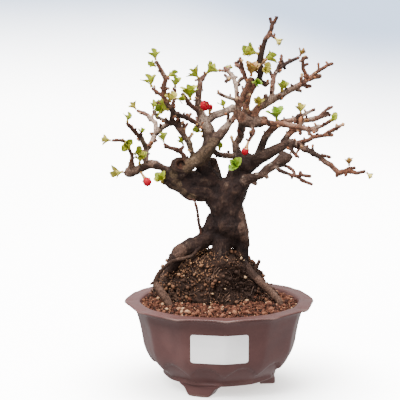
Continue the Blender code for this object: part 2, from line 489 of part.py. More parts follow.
def make_foot(angle):
    """A bracket foot: its outline narrows to a rounded toe, seen from outside, and it is cut thick."""
    bm = bmesh.new()
    rows = []
    for radius in (FOOT_INSIDE, FOOT_OUTSIDE):
        rows.append([bm.verts.new(around(angle + side * MM / radius, radius, height * MM))
                     for side, height in FOOT_OUTLINE])
    inner, outer = rows
    for k in range(len(FOOT_OUTLINE)):
        after = (k + 1) % len(FOOT_OUTLINE)
        bm.faces.new((outer[k], outer[after], inner[after], inner[k]))
    bm.faces.new(outer[::-1])
    bm.faces.new(inner)
    return solid("foot", bm, "clay")


def make_pot():
    bm = bmesh.new()
    rows = []
    for k in range(POT_COLUMNS):
        angle = LOBE_START + 2 * math.pi * k / POT_COLUMNS
        row = []
        for radius, height, share in POT_SECTION:
            row.append(bm.verts.new(around(angle, radius * MM * (1 - share * pot_lobe(angle)), height * MM)))
        rows.append(row)
    for k, row in enumerate(rows):
        after = rows[(k + 1) % POT_COLUMNS]
        for j in range(len(row)):
            up = (j + 1) % len(row)
            bm.faces.new((row[j], after[j], after[up], row[up]))
    bmesh.ops.triangulate(bm, faces=bm.faces)
    pot = solid("pot", bm, "clay")
    feet = [make_foot(FIRST_FOOT + 2 * math.pi * k / FEET) for k in range(FEET)]
    combine(pot, feet, "UNION")
    return keep_largest(pot)


def wall_tree(made):
    bm = bmesh.new()
    bm.from_mesh(made.data)
    found = BVHTree.FromBMesh(bm)
    bm.free()
    return found


LABEL_HALF = 23.4 * MM
LABEL_LOW = 33.0 * MM
LABEL_HIGH = 57.4 * MM
LABEL_CORNER = 2.0 * MM
LABEL_THICKNESS = 0.5 * MM
LABEL_LIFT = 0.6 * MM
LABEL_COLUMNS = 13
LABEL_ROWS = 3


def make_label(pot):
    """A blank sticker that follows the lobes, a hair in front of the clay."""
    wall = wall_tree(pot)
    bm = bmesh.new()
    columns, rows = LABEL_COLUMNS, LABEL_ROWS
    grids = []
    for lift in (LABEL_LIFT, LABEL_LIFT + LABEL_THICKNESS):
        grid = []
        for i in range(columns):
            across = -1 + 2 * i / (columns - 1)
            corner = LABEL_CORNER if i in (0, columns - 1) else 0.0
            column = []
            for j in range(rows):
                height = LABEL_LOW + corner + (LABEL_HIGH - LABEL_LOW - 2 * corner) * j / (rows - 1)
                x = across * LABEL_HALF
                hit = wall.ray_cast(Vector((x, -0.2, height)), Vector((0, 1, 0)))[0]
                out = Vector((hit.x, hit.y, 0)).normalized()
                column.append(bm.verts.new(hit + out * lift))
            grid.append(column)
        grids.append(grid)
    back, front = grids
    for i in range(columns - 1):
        for j in range(rows - 1):
            for grid in grids:
                face = (grid[i][j], grid[i + 1][j], grid[i + 1][j + 1], grid[i][j + 1])
                bm.faces.new(face if grid is front else face[::-1])
        for j in (0, rows - 1):
            bm.faces.new((back[i][j], back[i + 1][j], front[i + 1][j], front[i][j]))
    for j in range(rows - 1):
        for i in (0, columns - 1):
            bm.faces.new((back[i][j], back[i][j + 1], front[i][j + 1], front[i][j]))
    return solid("pot_label", bm, "label")


# The mound's top reaches this much further to the front, round the middle root.
FRONT_SHELF = 6.0 * MM
FRONT_SPREAD = 0.12


def mound_outline(angle, height):
    """The root mound's radius at an angle from the front and a height, about its own axis."""
    share = (height - MOUND_BASE) / (MOUND_TOP - MOUND_BASE)
    right = math.sin(angle)
    back = -math.cos(angle)
    half = (58 - 17 * share ** 1.6 if right < 0 else 54 - 31 * share ** 0.9) * MM
    depth = (31 - 9 * share if back < 0 else 34 - 12 * share) * MM
    radius = 1 / math.sqrt((right / half) ** 2 + (back / depth) ** 2)
    hollow = math.exp(-((angle - math.radians(38)) / 0.42) ** 2) * math.exp(-((share - 0.42) / 0.3) ** 2)
    spot = Vector((right, back, height * 40))
    shelf = FRONT_SHELF * share * math.exp(-(1 + back) / FRONT_SPREAD)
    uneven = 1 - 0.20 * hollow + 0.10 * noise.noise(spot * 2.2) + 0.05 * noise.noise(spot * 5)
    return radius * uneven + shelf


MOUND_CENTRE = Vector((0.0, 16 * MM, 0.0))
MOUND_FOOT = 72.0 * MM
CROWN_SHARE = 0.55
CROWN_RIGHT = 3.0 * MM
MOUND_COLUMNS = 24


def make_mound(cutters):
    heights = [MOUND_BASE, MOUND_FOOT, 79 * MM, 86 * MM, 93 * MM, 100 * MM, MOUND_TOP]
    bm = bmesh.new()
    rings = []
    for height in heights:
        ring = []
        for k in range(MOUND_COLUMNS):
            angle = 2 * math.pi * k / MOUND_COLUMNS
            used = max(height, heights[1])
            radius = mound_outline(angle, used)
            drop = 0.0 if height < MOUND_TOP else abs(noise.noise(Vector((k * 0.9, 3, 1)))) * 4 * MM
            ring.append(bm.verts.new(MOUND_CENTRE + around(angle, radius, height - drop)))
        rings.append(ring)
    for low, high in zip(rings, rings[1:]):
        for k in range(MOUND_COLUMNS):
            after = (k + 1) % MOUND_COLUMNS
            bm.faces.new((low[k], low[after], high[after], high[k]))
    bm.faces.new(rings[0][::-1])
    inner = []
    for k in range(MOUND_COLUMNS):
        edge = rings[-1][k].co - MOUND_CENTRE
        lift = MOUND_CROWN * (0.8 + 0.4 * noise.noise(edge * 60))
        spot = Vector((edge.x * CROWN_SHARE + CROWN_RIGHT, edge.y * CROWN_SHARE, MOUND_TOP + lift))
        inner.append(bm.verts.new(MOUND_CENTRE + spot))
    for k in range(MOUND_COLUMNS):
        after = (k + 1) % MOUND_COLUMNS
        bm.faces.new((rings[-1][k], rings[-1][after], inner[after], inner[k]))
    rings.append(inner)
    top = bm.verts.new(MOUND_CENTRE + Vector((2 * MM, 0, MOUND_TOP + MOUND_CROWN)))
    for k in range(MOUND_COLUMNS):
        bm.faces.new((rings[-1][k], rings[-1][(k + 1) % MOUND_COLUMNS], top))
    bmesh.ops.triangulate(bm, faces=bm.faces)
    mound = solid("root_mound", bm, "soil")
    combine(mound, cutters, "DIFFERENCE")
    return keep_largest(mound)


GRIT_RINGS = (0.74, 0.88)
# The fill's side: the bowl's own inner section, just inside it, with room for the screen below.
GRIT_SECTION = [
    (12, 18.6, 0), (12.3, 17.6, 0), (44, 18.6, 0.6), (53.6, 25.4, 0.9), (59.3, 35.4, 1.0), (61.3, 46, 1.0),
    (63.9, 60, 0.9), (65.9, 69.2, 0.5)]


def make_grit(cutters):
    """The fill: a bumpy top, with a pocket that the mound stands in, and the bowl's inside below."""
    bm = bmesh.new()
    rings = []
    for radius, height, share in GRIT_SECTION:
        ring = []
        for k in range(POT_COLUMNS):
            angle = LOBE_START + 2 * math.pi * k / POT_COLUMNS
            inside = radius * MM * (1 - share * pot_lobe(angle)) - CLEARANCE
            ring.append(bm.verts.new(around(angle, inside, height * MM)))
        rings.append(ring)
    edge = rings[-1]
    for share in reversed(GRIT_RINGS):
        ring = []
        for k, outer in enumerate(edge):
            spot = Vector((outer.co.x * share, outer.co.y * share, 0))
            bump = 1.1 * MM * noise.noise(spot * 260) + 0.8 * MM * noise.noise(spot * 90)
            spot.z = GRIT_HEIGHT + 1.2 * MM * (1 - share) + bump
            ring.append(bm.verts.new(spot))
        rings.append(ring)
    for low, high in zip(rings, rings[1:]):
        for k in range(POT_COLUMNS):
            after = (k + 1) % POT_COLUMNS
            bm.faces.new((low[k], low[after], high[after], high[k]))
    middle = bm.verts.new(Vector((0, 0, GRIT_HEIGHT + 1 * MM)))
    for k in range(POT_COLUMNS):
        bm.faces.new((rings[-1][k], rings[-1][(k + 1) % POT_COLUMNS], middle))
    bm.faces.new(rings[0][::-1])
    bmesh.ops.triangulate(bm, faces=bm.faces)
    grit = solid("grit_bed", bm, "grit")
    combine(grit, cutters + [mound_pocket()], "DIFFERENCE")
    return keep_largest(grit)


def mound_pocket():
    """The pocket's cutter: the mound's foot, a gap wider and a gap deeper."""
    bm = bmesh.new()
    rings = []
    for height in (MOUND_BASE - CLEARANCE, MOUND_TOP):
        ring = []
        for k in range(MOUND_COLUMNS):
            angle = 2 * math.pi * k / MOUND_COLUMNS
            radius = mound_outline(angle, MOUND_FOOT) + 2 * CLEARANCE
            ring.append(bm.verts.new(MOUND_CENTRE + around(angle, radius, height)))
        rings.append(ring)
    for k in range(MOUND_COLUMNS):
        after = (k + 1) % MOUND_COLUMNS
        bm.faces.new((rings[0][k], rings[0][after], rings[1][after], rings[1][k]))
    bm.faces.new(rings[0][::-1])
    bm.faces.new(rings[1])
    return solid("pocket", bm, "soil")


def make_screen():
    """The plastic mesh over the drain hole: a thin plate, with its holes left to its finish."""
    bm = bmesh.new()
    bmesh.ops.create_cone(
        bm, cap_ends=True, segments=16, radius1=11 * MM, radius2=11 * MM, depth=0.8 * MM,
        matrix=Matrix.Translation((0, 0, (FLOOR_TOP + 0.7) * MM)))
    return solid("drain_screen", bm, "mesh")


BLADE_HALF_THICKNESS = 0.33 * MM
TOOTH_OUT = {1: (1.0,), 2: (0.94, 0.84)}
BIG_LEAF = 9.2 * MM
LEAF_SCALE = 1.12
LEAF_SIZE = (0.8, 1.0)
LEAF_BREADTH = (0.72, 0.88)
LEAF_FOLD = 0.34
LEAF_ARCH = 0.24

# A tuft's shoot: where its blades are this long it is thick; it grows this share of a blade and a bit.
LONG_BLADE = 7
THICK_SHOOT = 1.9 * MM
THIN_SHOOT = 1.5 * MM
SHOOT_SHARE = 0.22
SHOOT_LEAST = 0.6
SHOOT_STEP = 0.12 * MM
SHOOT_STEPS = 90

# How blades leave their shoot: how far they tip out, and the turns tried until one is clear.
MIDDLE_TIP = 0.15
OUTER_TIP = (0.6, 0.9)
TURN_PLAY = 0.3
LEAF_TRIES = 24
TRY_TURN = 0.7
TRY_TIP = 0.03
TRY_SHRINK = 0.015
ROOT_SHARE = 0.95
ROOT_STEP = 0.16
ROOT_SINK = 0.4 * MM


def blade(base, along, up, length, width):
    """One young leaf: toothed on both edges, folded along its rib and arched back."""
    teeth = 2 if length >= BIG_LEAF else 1
    along = along.normalized()
    side = along.cross(up).normalized()
    up = side.cross(along)

    def spot(share, out):
        rise = LEAF_FOLD * abs(out) - LEAF_ARCH * length * share * share
        return base + along * length * share + side * out + up * rise

    rib = [spot((j + 0.55) / (teeth + 0.2), 0) for j in range(teeth)]
    tip = spot(1.0, 0)
    halves = []
    for sign in (-1, 1):
        edge = []
        for j, reach in enumerate(TOOTH_OUT[teeth]):
            edge.append(spot((j + 0.95) / (teeth + 0.35), sign * reach * width / 2))
            if j < teeth - 1:
                edge.append(spot((j + 1.05) / (teeth + 0.35), sign * 0.72 * reach * width / 2))
        halves.append(edge)
    points = [base] + rib + [tip] + halves[0] + halves[1]
    first = {-1: 2 + teeth, 1: 2 + teeth + len(halves[0])}
    faces = []
    for sign in (-1, 1):
        edge = [0] + list(range(first[sign], first[sign] + len(halves[0]))) + [1 + teeth]
        made = [(0, edge[1], 1)]
        for j in range(teeth):
            tooth = 2 * j + 1
            if j:
                made.append((j + 1, edge[tooth - 1], edge[tooth]))
            if j < teeth - 1:
                made.append((j + 1, edge[tooth], edge[tooth + 1]))
                made.append((j + 1, edge[tooth + 1], j + 2))
            else:
                made.append((j + 1, edge[tooth], edge[tooth + 1]))
        faces += [face[::sign] for face in made]
    outline = [0] + list(range(first[1], first[1] + len(halves[1]))) + [1 + teeth]
    outline += list(range(first[-1], first[-1] + len(halves[0])))[::-1]
    bm = bmesh.new()
    top = [bm.verts.new(p + up * BLADE_HALF_THICKNESS) for p in points]
    low = [bm.verts.new(p - up * BLADE_HALF_THICKNESS) for p in points]
    for a, b, c in faces:
        bm.faces.new((top[a], top[b], top[c]))
        bm.faces.new((low[c], low[b], low[a]))
    for a, b in zip(outline, outline[1:] + outline[:1]):
        bm.faces.new((top[a], top[b], low[b], low[a]))
    bmesh.ops.triangulate(bm, faces=bm.faces)
    return bm


def clear_of(bm, obstacles):
    shape = BVHTree.FromBMesh(bm, epsilon=CLEARANCE)
    return not any(shape.overlap(tree) for tree in obstacles)


def near_anything(bm, obstacles, least):
    for vert in bm.verts:
        for tree in obstacles:
            if tree.find_nearest(vert.co, least)[0] is not None:
                return True
    return False


def grow_shoot(name, row, wood, obstacles):
    """The green shoot of a tuft, moved out along its lean until it stands a gap clear of the bark."""
    foot, lean, length, _, colour = row
    lean = Vector((lean[0], lean[2], lean[1])).normalized()
    thick = THICK_SHOOT if length >= LONG_BLADE else THIN_SHOOT
    reach = (SHOOT_SHARE * length + SHOOT_LEAST) * MM
    for step in range(SHOOT_STEPS):
        start = tree_point(*foot) + lean * step * SHOOT_STEP
        spot, normal, _, _ = wood.find_nearest(start)
        bm = bmesh.new()
        tube(bm, [start, start + lean * reach], [thick, thick * 0.85], sides=4)
        outside = (start - spot).dot(normal) > 0
        if outside and clear_of(bm, obstacles) and not near_anything(bm, obstacles, CLEARANCE):
            break
        bm.free()
    return solid(name, bm, colour), start, lean, reach, thick


def make_tuft(number, row, wood, obstacles):
    """Leaves on a short green shoot, each one turned and tipped until it is clear of its neighbours."""
    _, _, length, blades, colour = row
    draw = random.Random(100 + number)
    stalk, start, lean, shoot, thick = grow_shoot(f"leaf_tuft_{number:02d}", row, wood, obstacles)
    across = lean.orthogonal().normalized()
    others = []
    for k in range(blades):
        size = length * LEAF_SCALE * MM * draw.uniform(*LEAF_SIZE)
        width = size * draw.uniform(*LEAF_BREADTH)
        spread = draw.uniform(*OUTER_TIP) if k else MIDDLE_TIP
        turn = 2 * math.pi * k / max(blades - 1, 2) + draw.uniform(-TURN_PLAY, TURN_PLAY)
        for attempt in range(LEAF_TRIES):
            outward = Matrix.Rotation(turn + TRY_TURN * attempt, 3, lean) @ across
            tipped = spread * (1 - TRY_TIP * attempt)
            along = (lean * math.cos(tipped) + outward * math.sin(tipped)).normalized()
            facing = (lean - along * lean.dot(along)) if k else across
            fit = 1 - TRY_SHRINK * attempt
            root = start + lean * shoot * (ROOT_SHARE - ROOT_STEP * k) + outward * thick * (0.3 if k else 0)
            leaf = blade(root - along * ROOT_SINK, along, facing, size * fit, width * fit)
            if clear_of(leaf, obstacles) and not near_anything(leaf, obstacles, CLEARANCE):
                others.append(solid("leaf", leaf, colour))
                break
            leaf.free()
    if others:
        combine(stalk, others, "UNION")
    return keep_largest(stalk)


# Petals and sepals in a flower, and a closed bud's steps round and along.
PETALS = 5
FILAMENTS = 4
BUD_COLUMNS = 3 * PETALS
BUD_ROWS = 5
BUD_STEP = 0.10
BUD_TWIST = 0.35
# An open petal: how wide it spreads and how far it reaches below and above the flower's middle.
PETAL_HALF = math.radians(46)
PETAL_LOW = math.radians(-58)
PETAL_HIGH = math.radians(44)
# The stalk behind a flower is shortened by this step until it stands clear of the bark.
STALK_STEP = 0.1 * MM
STALK_STEPS = 90


def closed_bud(name, centre, axis, radius):
    """A closed bud: five petals wrapped one over the next, each edge a step in the round."""
    first = axis.orthogonal().normalized()
    second = axis.cross(first)
    columns, rows = BUD_COLUMNS, BUD_ROWS
    bm = bmesh.new()
    rings = []
    for j in range(1, rows):
        tilt = -math.pi / 2 + math.pi * j / rows
        ring = []
        for k in range(columns):
            step = 1 - BUD_STEP * (k % 3) / 2
            wound = 2 * math.pi * k / columns + BUD_TWIST * math.sin(tilt)
            out = first * math.cos(wound) + second * math.sin(wound)
            ring.append(bm.verts.new(
                centre + (out * math.cos(tilt) * step + axis * math.sin(tilt) * 1.1) * radius))
        rings.append(ring)
    for low, high in zip(rings, rings[1:]):
        for k in range(columns):
            bm.faces.new((low[k], low[(k + 1) % columns], high[(k + 1) % columns], high[k]))
    for ring, end in ((rings[0][::-1], -1.02), (rings[-1], 1.1)):
        tip = bm.verts.new(centre + axis * radius * end)
        for k in range(columns):
            bm.faces.new((ring[k], ring[(k + 1) % columns], tip))
    bmesh.ops.triangulate(bm, faces=bm.faces)
    return solid(f"{name}_petals", bm, "petal")


def open_petals(name, centre, axis, radius):
    """Five cupped petals that lap over each other round a smaller core."""
    core = ball(f"{name}_petals", centre - axis * 0.1 * radius, radius * 0.70, "petal")
    petals = []
    for k in range(PETALS):
        petals.append(cupped_petal(
            centre, axis, 2 * math.pi * k / PETALS, radius * (1 if k % 2 else 0.93), radius * 0.30))
    combine(core, petals, "UNION")
    return keep_largest(core)


def cupped_petal(centre, axis, turn, radius, thickness):
    """A petal as a patch of a thick shell round an axis, from its claw up to its rounded edge."""
    first = axis.orthogonal().normalized()
    second = axis.cross(first)
    columns, rows = 3, 3
    bm = bmesh.new()
    grids = []
    for shell in (radius, radius - thickness):
        grid = []
        for i in range(columns):
            across = -1 + 2 * i / (columns - 1)
            column = []
            for j in range(rows):
                share = j / (rows - 1)
                rounded = PETAL_HIGH - 0.30 * across ** 2 * (PETAL_HIGH - PETAL_LOW)
                tilt = PETAL_LOW + (rounded - PETAL_LOW) * share
                breadth = PETAL_HALF * (0.5 + 0.5 * math.sin(math.pi * min(0.15 + 0.75 * share, 1)))
                around_axis = turn + across * breadth
                out = first * math.cos(around_axis) + second * math.sin(around_axis)
                column.append(bm.verts.new(centre + (out * math.cos(tilt) + axis * math.sin(tilt)) * shell))
            grid.append(column)
        grids.append(grid)
    outer, inner = grids
    for i in range(columns - 1):
        for j in range(rows - 1):
            bm.faces.new((outer[i][j], outer[i + 1][j], outer[i + 1][j + 1], outer[i][j + 1]))
            bm.faces.new((inner[i][j + 1], inner[i + 1][j + 1], inner[i + 1][j], inner[i][j]))
        for j in (0, rows - 1):
            bm.faces.new((inner[i][j], inner[i + 1][j], outer[i + 1][j], outer[i][j]))
    for j in range(rows - 1):
        for i in (0, columns - 1):
            bm.faces.new((inner[i][j], inner[i][j + 1], outer[i][j + 1], outer[i][j]))
    bmesh.ops.triangulate(bm, faces=bm.faces)
    return solid("petal", bm, "petal")


def ball(name, centre, radius, colour):
    bm = bmesh.new()
    bmesh.ops.create_icosphere(bm, subdivisions=1, radius=radius, matrix=Matrix.Translation(centre))
    return solid(name, bm, colour)


# Flowers: foot on the bark, middle of the petals (squares right, up, depth in mm), their radius in mm,
# and whether they are open.
FLOWERS = {
    "bloom": ((-20.5, 272, -5), (-15.2, 277.3, -13), 3.7, True),
    "small_bud": ((-11, 266, -5), (-9.6, 276, -7), 2.1, False),
    "left_bud": ((-81, 213.6, -2), (-72.8, 201.2, -12), 3.6, False),
    "hanging_bud": ((28.6, 242, -14), (25.2, 232, -15), 3.1, False),
}


def make_flower(name, wood):
    foot, middle, radius, is_open = FLOWERS[name]
    centre = tree_point(*middle)
    root = tree_point(*foot)
    axis = (centre - root).normalized()
    radius *= MM
    core = (open_petals if is_open else closed_bud)(name, centre, axis, radius)
    made = [core]
    if is_open:
        made.append(make_stamens(name, centre, axis, core))
    made.append(make_calyx(name, centre, axis, radius, root, wood))
    return made


def make_stamens(name, centre, axis, petals):
    """A tuft of filaments with their anthers, on a small disc just above the petals' core."""
    wall = wall_tree(petals)
    hit = wall.ray_cast(centre + axis * 20 * MM, -axis)[0]
    foot = hit + axis * CLEARANCE
    bm = bmesh.new()
    tube(bm, [foot, foot + axis * 0.7 * MM], [2.0 * MM, 1.6 * MM])
    disc = solid(f"{name}_stamens", bm, "stamen")
    first = axis.orthogonal().normalized()
    filaments = []
    for k in range(FILAMENTS):
        out = Matrix.Rotation(2 * math.pi * k / FILAMENTS, 3, axis) @ first
        bm = bmesh.new()
        tube(bm, [foot + axis * 0.35 * MM + out * 0.35 * MM, foot + axis * 1.5 * MM + out * 0.8 * MM,
                  foot + axis * 2.2 * MM + out * 0.95 * MM], [0.6 * MM, 0.6 * MM, 0.9 * MM])
        filaments.append(solid("filament", bm, "stamen"))
    combine(disc, filaments, "UNION")
    return keep_largest(disc)


def make_calyx(name, centre, axis, radius, root, wood):
    """The green cup behind the petals with its five sepals, and the stalk back to the bark."""
    neck = centre - axis * (radius + CLEARANCE + 0.1 * MM)
    to_bark = wood.ray_cast(neck, -axis)[0] or root
    for step in range(STALK_STEPS):
        start = to_bark + axis * step * STALK_STEP
        bm = bmesh.new()
        tube(bm, [start, neck - axis * 1.2 * MM, neck], [1.5 * MM, 1.7 * MM, 2.6 * MM])
        if clear_of(bm, [wood]) and not near_anything(bm, [wood], CLEARANCE):
            break
        bm.free()
    cup = solid(f"{name}_calyx", bm, "sepal")
    sepals = []
    for k in range(PETALS):
        out = Matrix.Rotation(2 * math.pi * k / PETALS, 3, axis) @ axis.orthogonal().normalized()
        bm = bmesh.new()
        tube(bm, [neck - axis * 0.9 * MM, neck + axis * 0.1 * MM + out * (radius * 0.80)],
             [1.6 * MM, 0.7 * MM], sides=3)
        sepals.append(solid("sepal", bm, "sepal"))
    combine(cup, sepals, "UNION")
    return keep_largest(cup)


def centre_on_origin():
    """Moves the whole plant so that the middle of its box stands over the origin."""
    made = list(bpy.context.scene.objects)
    corners = [vert.co for each in made for vert in each.data.vertices]
    low = Vector([min(corner[i] for corner in corners) for i in range(3)])
    high = Vector([max(corner[i] for corner in corners) for i in range(3)])
    move = Vector((-(low.x + high.x) / 2, -(low.y + high.y) / 2, -low.z))
    for each in made:
        each.data.transform(Matrix.Translation(move))


def main():
    for old in list(bpy.data.objects):
        bpy.data.objects.remove(old)
    pot = make_pot()
    make_label(pot)
    make_screen()
    tree = make_tree()
    make_mound([limb_tube(name, CLEARANCE) for name in ROOTS])
    make_grit([limb_tube(name, CLEARANCE) for name in ROOTS])
    wood = wall_tree(tree)
    obstacles = [wood]
    for name in FLOWERS:
        obstacles += [wall_tree(each) for each in make_flower(name, wood)]
    for number, row in enumerate(TUFTS, 1):
        tuft = make_tuft(number, row, wood, obstacles)
        obstacles.append(wall_tree(tuft))
    centre_on_origin()


main()
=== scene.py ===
"""Dresses the flowering quince bonsai: bark, roots, soil, clay bowl, leaves and flowers."""

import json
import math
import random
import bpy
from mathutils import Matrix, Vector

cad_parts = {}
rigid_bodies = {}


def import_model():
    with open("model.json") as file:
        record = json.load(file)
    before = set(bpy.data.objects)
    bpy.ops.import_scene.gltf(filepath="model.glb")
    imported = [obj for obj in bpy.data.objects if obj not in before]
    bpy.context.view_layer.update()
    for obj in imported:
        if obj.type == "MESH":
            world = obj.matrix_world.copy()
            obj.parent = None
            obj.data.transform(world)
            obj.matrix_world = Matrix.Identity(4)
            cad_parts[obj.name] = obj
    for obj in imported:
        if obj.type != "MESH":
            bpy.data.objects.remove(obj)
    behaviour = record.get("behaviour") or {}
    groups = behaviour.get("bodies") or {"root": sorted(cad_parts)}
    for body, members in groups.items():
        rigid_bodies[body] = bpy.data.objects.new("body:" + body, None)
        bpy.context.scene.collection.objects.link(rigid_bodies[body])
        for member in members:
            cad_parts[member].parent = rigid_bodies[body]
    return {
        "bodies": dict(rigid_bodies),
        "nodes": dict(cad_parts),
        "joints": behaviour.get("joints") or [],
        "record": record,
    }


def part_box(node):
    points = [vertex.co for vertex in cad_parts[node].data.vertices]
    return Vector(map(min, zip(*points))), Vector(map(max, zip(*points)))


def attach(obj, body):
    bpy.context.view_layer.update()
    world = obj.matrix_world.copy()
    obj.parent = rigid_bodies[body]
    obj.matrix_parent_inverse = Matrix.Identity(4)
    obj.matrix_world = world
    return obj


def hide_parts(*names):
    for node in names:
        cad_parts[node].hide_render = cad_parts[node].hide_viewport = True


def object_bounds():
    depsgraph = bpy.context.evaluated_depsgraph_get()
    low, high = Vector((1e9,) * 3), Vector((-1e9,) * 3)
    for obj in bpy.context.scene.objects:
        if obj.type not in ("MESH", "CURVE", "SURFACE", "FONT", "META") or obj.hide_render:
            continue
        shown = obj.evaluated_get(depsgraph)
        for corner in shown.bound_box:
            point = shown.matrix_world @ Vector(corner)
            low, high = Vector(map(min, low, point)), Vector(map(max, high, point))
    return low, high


bl_info = {
    "name": "Flowering Quince Bonsai",
    "version": (1, 0, 0),
    "blender": (4, 5, 0),
    "location": "View3D > Sidebar > Bonsai",
    "description": "Finishes the quince, its soil and its lobed bowl around the loaded frame",
    "category": "Add Mesh",
}

import bpy
import numpy as np
from bpy.props import FloatProperty, FloatVectorProperty, IntProperty, PointerProperty
from mathutils import Matrix, Vector
from mathutils.bvhtree import BVHTree

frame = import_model()
CAD_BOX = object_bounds()
NODES = frame["nodes"]

MM = 0.001
TURN = 2 * math.pi
DOWN = Vector((0, 0, -1))
BODY = "root"

# The bowl's axis passes through the middle of the screen over its drain hole.
SCREEN_LOW, SCREEN_HIGH = (Vector(corner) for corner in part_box("drain_screen"))
AXIS = (SCREEN_LOW + SCREEN_HIGH) / 2
AXIS.z = 0.0

# The front drawing that places limbs, leaves and flowers, as the solids' own source draws them: the
# side of its square, the eye it is seen from, and the sight line through it.
SQUARE = 0.84 * MM
EYE_OFFSET = Vector((0.0, -1.244, 0.350))
EYE_TO_DRAWING = 1.276
EYE_PITCH = math.radians(8.85)
EYE_YAW = math.radians(0.754)
SIGHT_RIGHT = -20.0
SIGHT_UP = 183.0
TREE_DEPTH = 8.0 * MM


def drawn(right, up, depth=0.0):
    """The point at a place of the front drawing, so many millimetres behind the trunk's plane."""
    level = math.cos(EYE_PITCH)
    ahead = Vector((-math.sin(EYE_YAW) * level, math.cos(EYE_YAW) * level, -math.sin(EYE_PITCH)))
    side = Vector((math.cos(EYE_YAW), math.sin(EYE_YAW), 0))
    ray = ahead * EYE_TO_DRAWING + side * (right - SIGHT_RIGHT) * SQUARE
    ray += side.cross(ahead) * (up - SIGHT_UP) * SQUARE
    return AXIS + EYE_OFFSET + ray * ((depth * MM + TREE_DEPTH - EYE_OFFSET.y) / ray.y)


# Shader maths

def both_ways(operation):
    """A Python operator and its reflected form, each of which adds a Math node."""
    return (lambda wire, other: wire.sum(operation, wire, other),
            lambda wire, other: wire.sum(operation, other, wire))


class Wire:
    """A socket in a material, whose Python sums add the nodes that work them out."""

    def __init__(self, paint, value):
        self.paint = paint
        self.value = value

    def sum(self, operation, *parts):
        return self.paint.add("ShaderNodeMath", {"operation": operation}, parts)

    __add__, __radd__ = both_ways("ADD")
    __sub__, __rsub__ = both_ways("SUBTRACT")
    __mul__, __rmul__ = both_ways("MULTIPLY")

    def size(self):
        return self.sum("ABSOLUTE", self)

    def wave(self):
        return self.sum("SINE", self)


def colour(red, green, blue):
    """A colour given as on a screen, 0 to 255, in the linear values that a shader takes."""
    return tuple((part / 255 / 12.92) if part < 11 else ((part / 255 + 0.055) / 1.055) ** 2.4
                 for part in (red, green, blue))


def colour_property(name, description, default):
    """A setting of an add-on's piece that holds a colour."""
    return FloatVectorProperty(name=name, description=description, default=default,
                               subtype="COLOR", size=3, min=0, max=1)


class Paint:
    """A material under construction, with short names for the nodes that the finishes use."""

    def __init__(self, name, roughness=0.5, gloss=0.5, fixed=()):
        self.material = bpy.data.materials.new(name)
        self.material.use_nodes = True
        self.tree = self.material.node_tree
        self.shader = self.tree.nodes["Principled BSDF"]
        fixed = {"Roughness": roughness, "Specular IOR Level": gloss, **dict(fixed)}
        for socket, value in fixed.items():
            self.shader.inputs[socket].default_value = value

    def add(self, kind, settings=(), inputs=(), output=0):
        """Adds a node: its settings first, then its sockets, in order or by name or number."""
        node = self.tree.nodes.new(kind)
        for key, value in dict(settings).items():
            if key == "stops":
                ramp = node.color_ramp
                while len(ramp.elements) < len(value):
                    ramp.elements.new(0.5)
                for stop, (share, shade) in zip(ramp.elements, value):
                    stop.position = share
                    stop.color = (*((shade,) * 3 if isinstance(shade, float) else shade), 1)
            else:
                setattr(node, key, value)
        for key, value in inputs.items() if isinstance(inputs, dict) else enumerate(inputs):
            self.feed(node.inputs[key], value)
        return Wire(self, node.outputs[output])

    def feed(self, socket, value):
        value = value.value if isinstance(value, Wire) else value
        if isinstance(value, bpy.types.NodeSocket):
            self.tree.links.new(value, socket)
        elif socket.type == "RGBA" and len(value) == 3:
            socket.default_value = (*value, 1)
        else:
            socket.default_value = value

    def spot(self, stretch=(1, 1, 1)):
        """Where a point is, in metres, stretched along the axes."""
        where = self.add("ShaderNodeTexCoord", output="Object")
        return self.add("ShaderNodeVectorMath", {"operation": "MULTIPLY"}, (where, stretch))

    def along(self, axis):
        """How far a point lies along the X, Y or Z axis, in metres."""
        return self.add("ShaderNodeSeparateXYZ", inputs=(self.spot(),), output=axis)

    def cloud(self, size, detail=3.0, rough=0.55):
        """Soft random patches about size across, from 0 to 1."""
        return self.add("ShaderNodeTexNoise", inputs={
            "Vector": self.spot(), "Scale": 1 / size, "Detail": detail, "Roughness": rough})

    def cells(self, size, stretch=(1, 1, 1), feature="F1"):
        """The distance to scattered points about size apart, or to the edges between them."""
        return self.add("ShaderNodeTexVoronoi", {"feature": feature},
                        {"Vector": self.spot(stretch), "Scale": 1 / size})

    def ramp(self, share, *stops):
        """Colours, or greys given as one number, at places from 0 to 1, and smooth between."""
        return self.add("ShaderNodeValToRGB", {"stops": stops}, (share,))

    def band(self, value, low, high):
        """0 below low, 1 above high, and smooth between."""
        return self.add(
            "ShaderNodeMapRange", {"interpolation_type": "SMOOTHSTEP"}, (value, low, high))

    def map(self, name):
        """The value that a mesh holds for each of its points under a name."""
        return self.add("ShaderNodeAttribute", {"attribute_name": name}, output="Fac")

    def mix(self, share, first, second):
        return self.add("ShaderNodeMix", {"data_type": "RGBA"}, {0: share, 6: first, 7: second}, 2)

    def coats(self, base, *coats):
        """Colours laid over a base one after another, each through its mask."""
        for mask, shade in coats:
            base = self.mix(mask, base, shade)
        return base

    def scaled(self, base, share):
        """A colour made lighter or darker."""
        return self.add("ShaderNodeVectorMath", {"operation": "SCALE"}, {0: base, "Scale": share})

    def finish(self, base, roughness=None, height=None, depth=0.2 * MM, strength=1.0):
        """Feeds the shader its colour, and its roughness and relief where they vary."""
        self.feed(self.shader.inputs["Base Color"], base)
        if roughness is not None:
            self.feed(self.shader.inputs["Roughness"], roughness)
        if height is not None:
            relief = {"Strength": strength, "Distance": depth, "Height": height}
            self.feed(self.shader.inputs["Normal"], self.add("ShaderNodeBump", inputs=relief))
        return self.material


# Mesh helpers

# Large primes that turn a cell's place into a random height.
HASH_PRIMES = (374761393, 668265263, 1274126177)


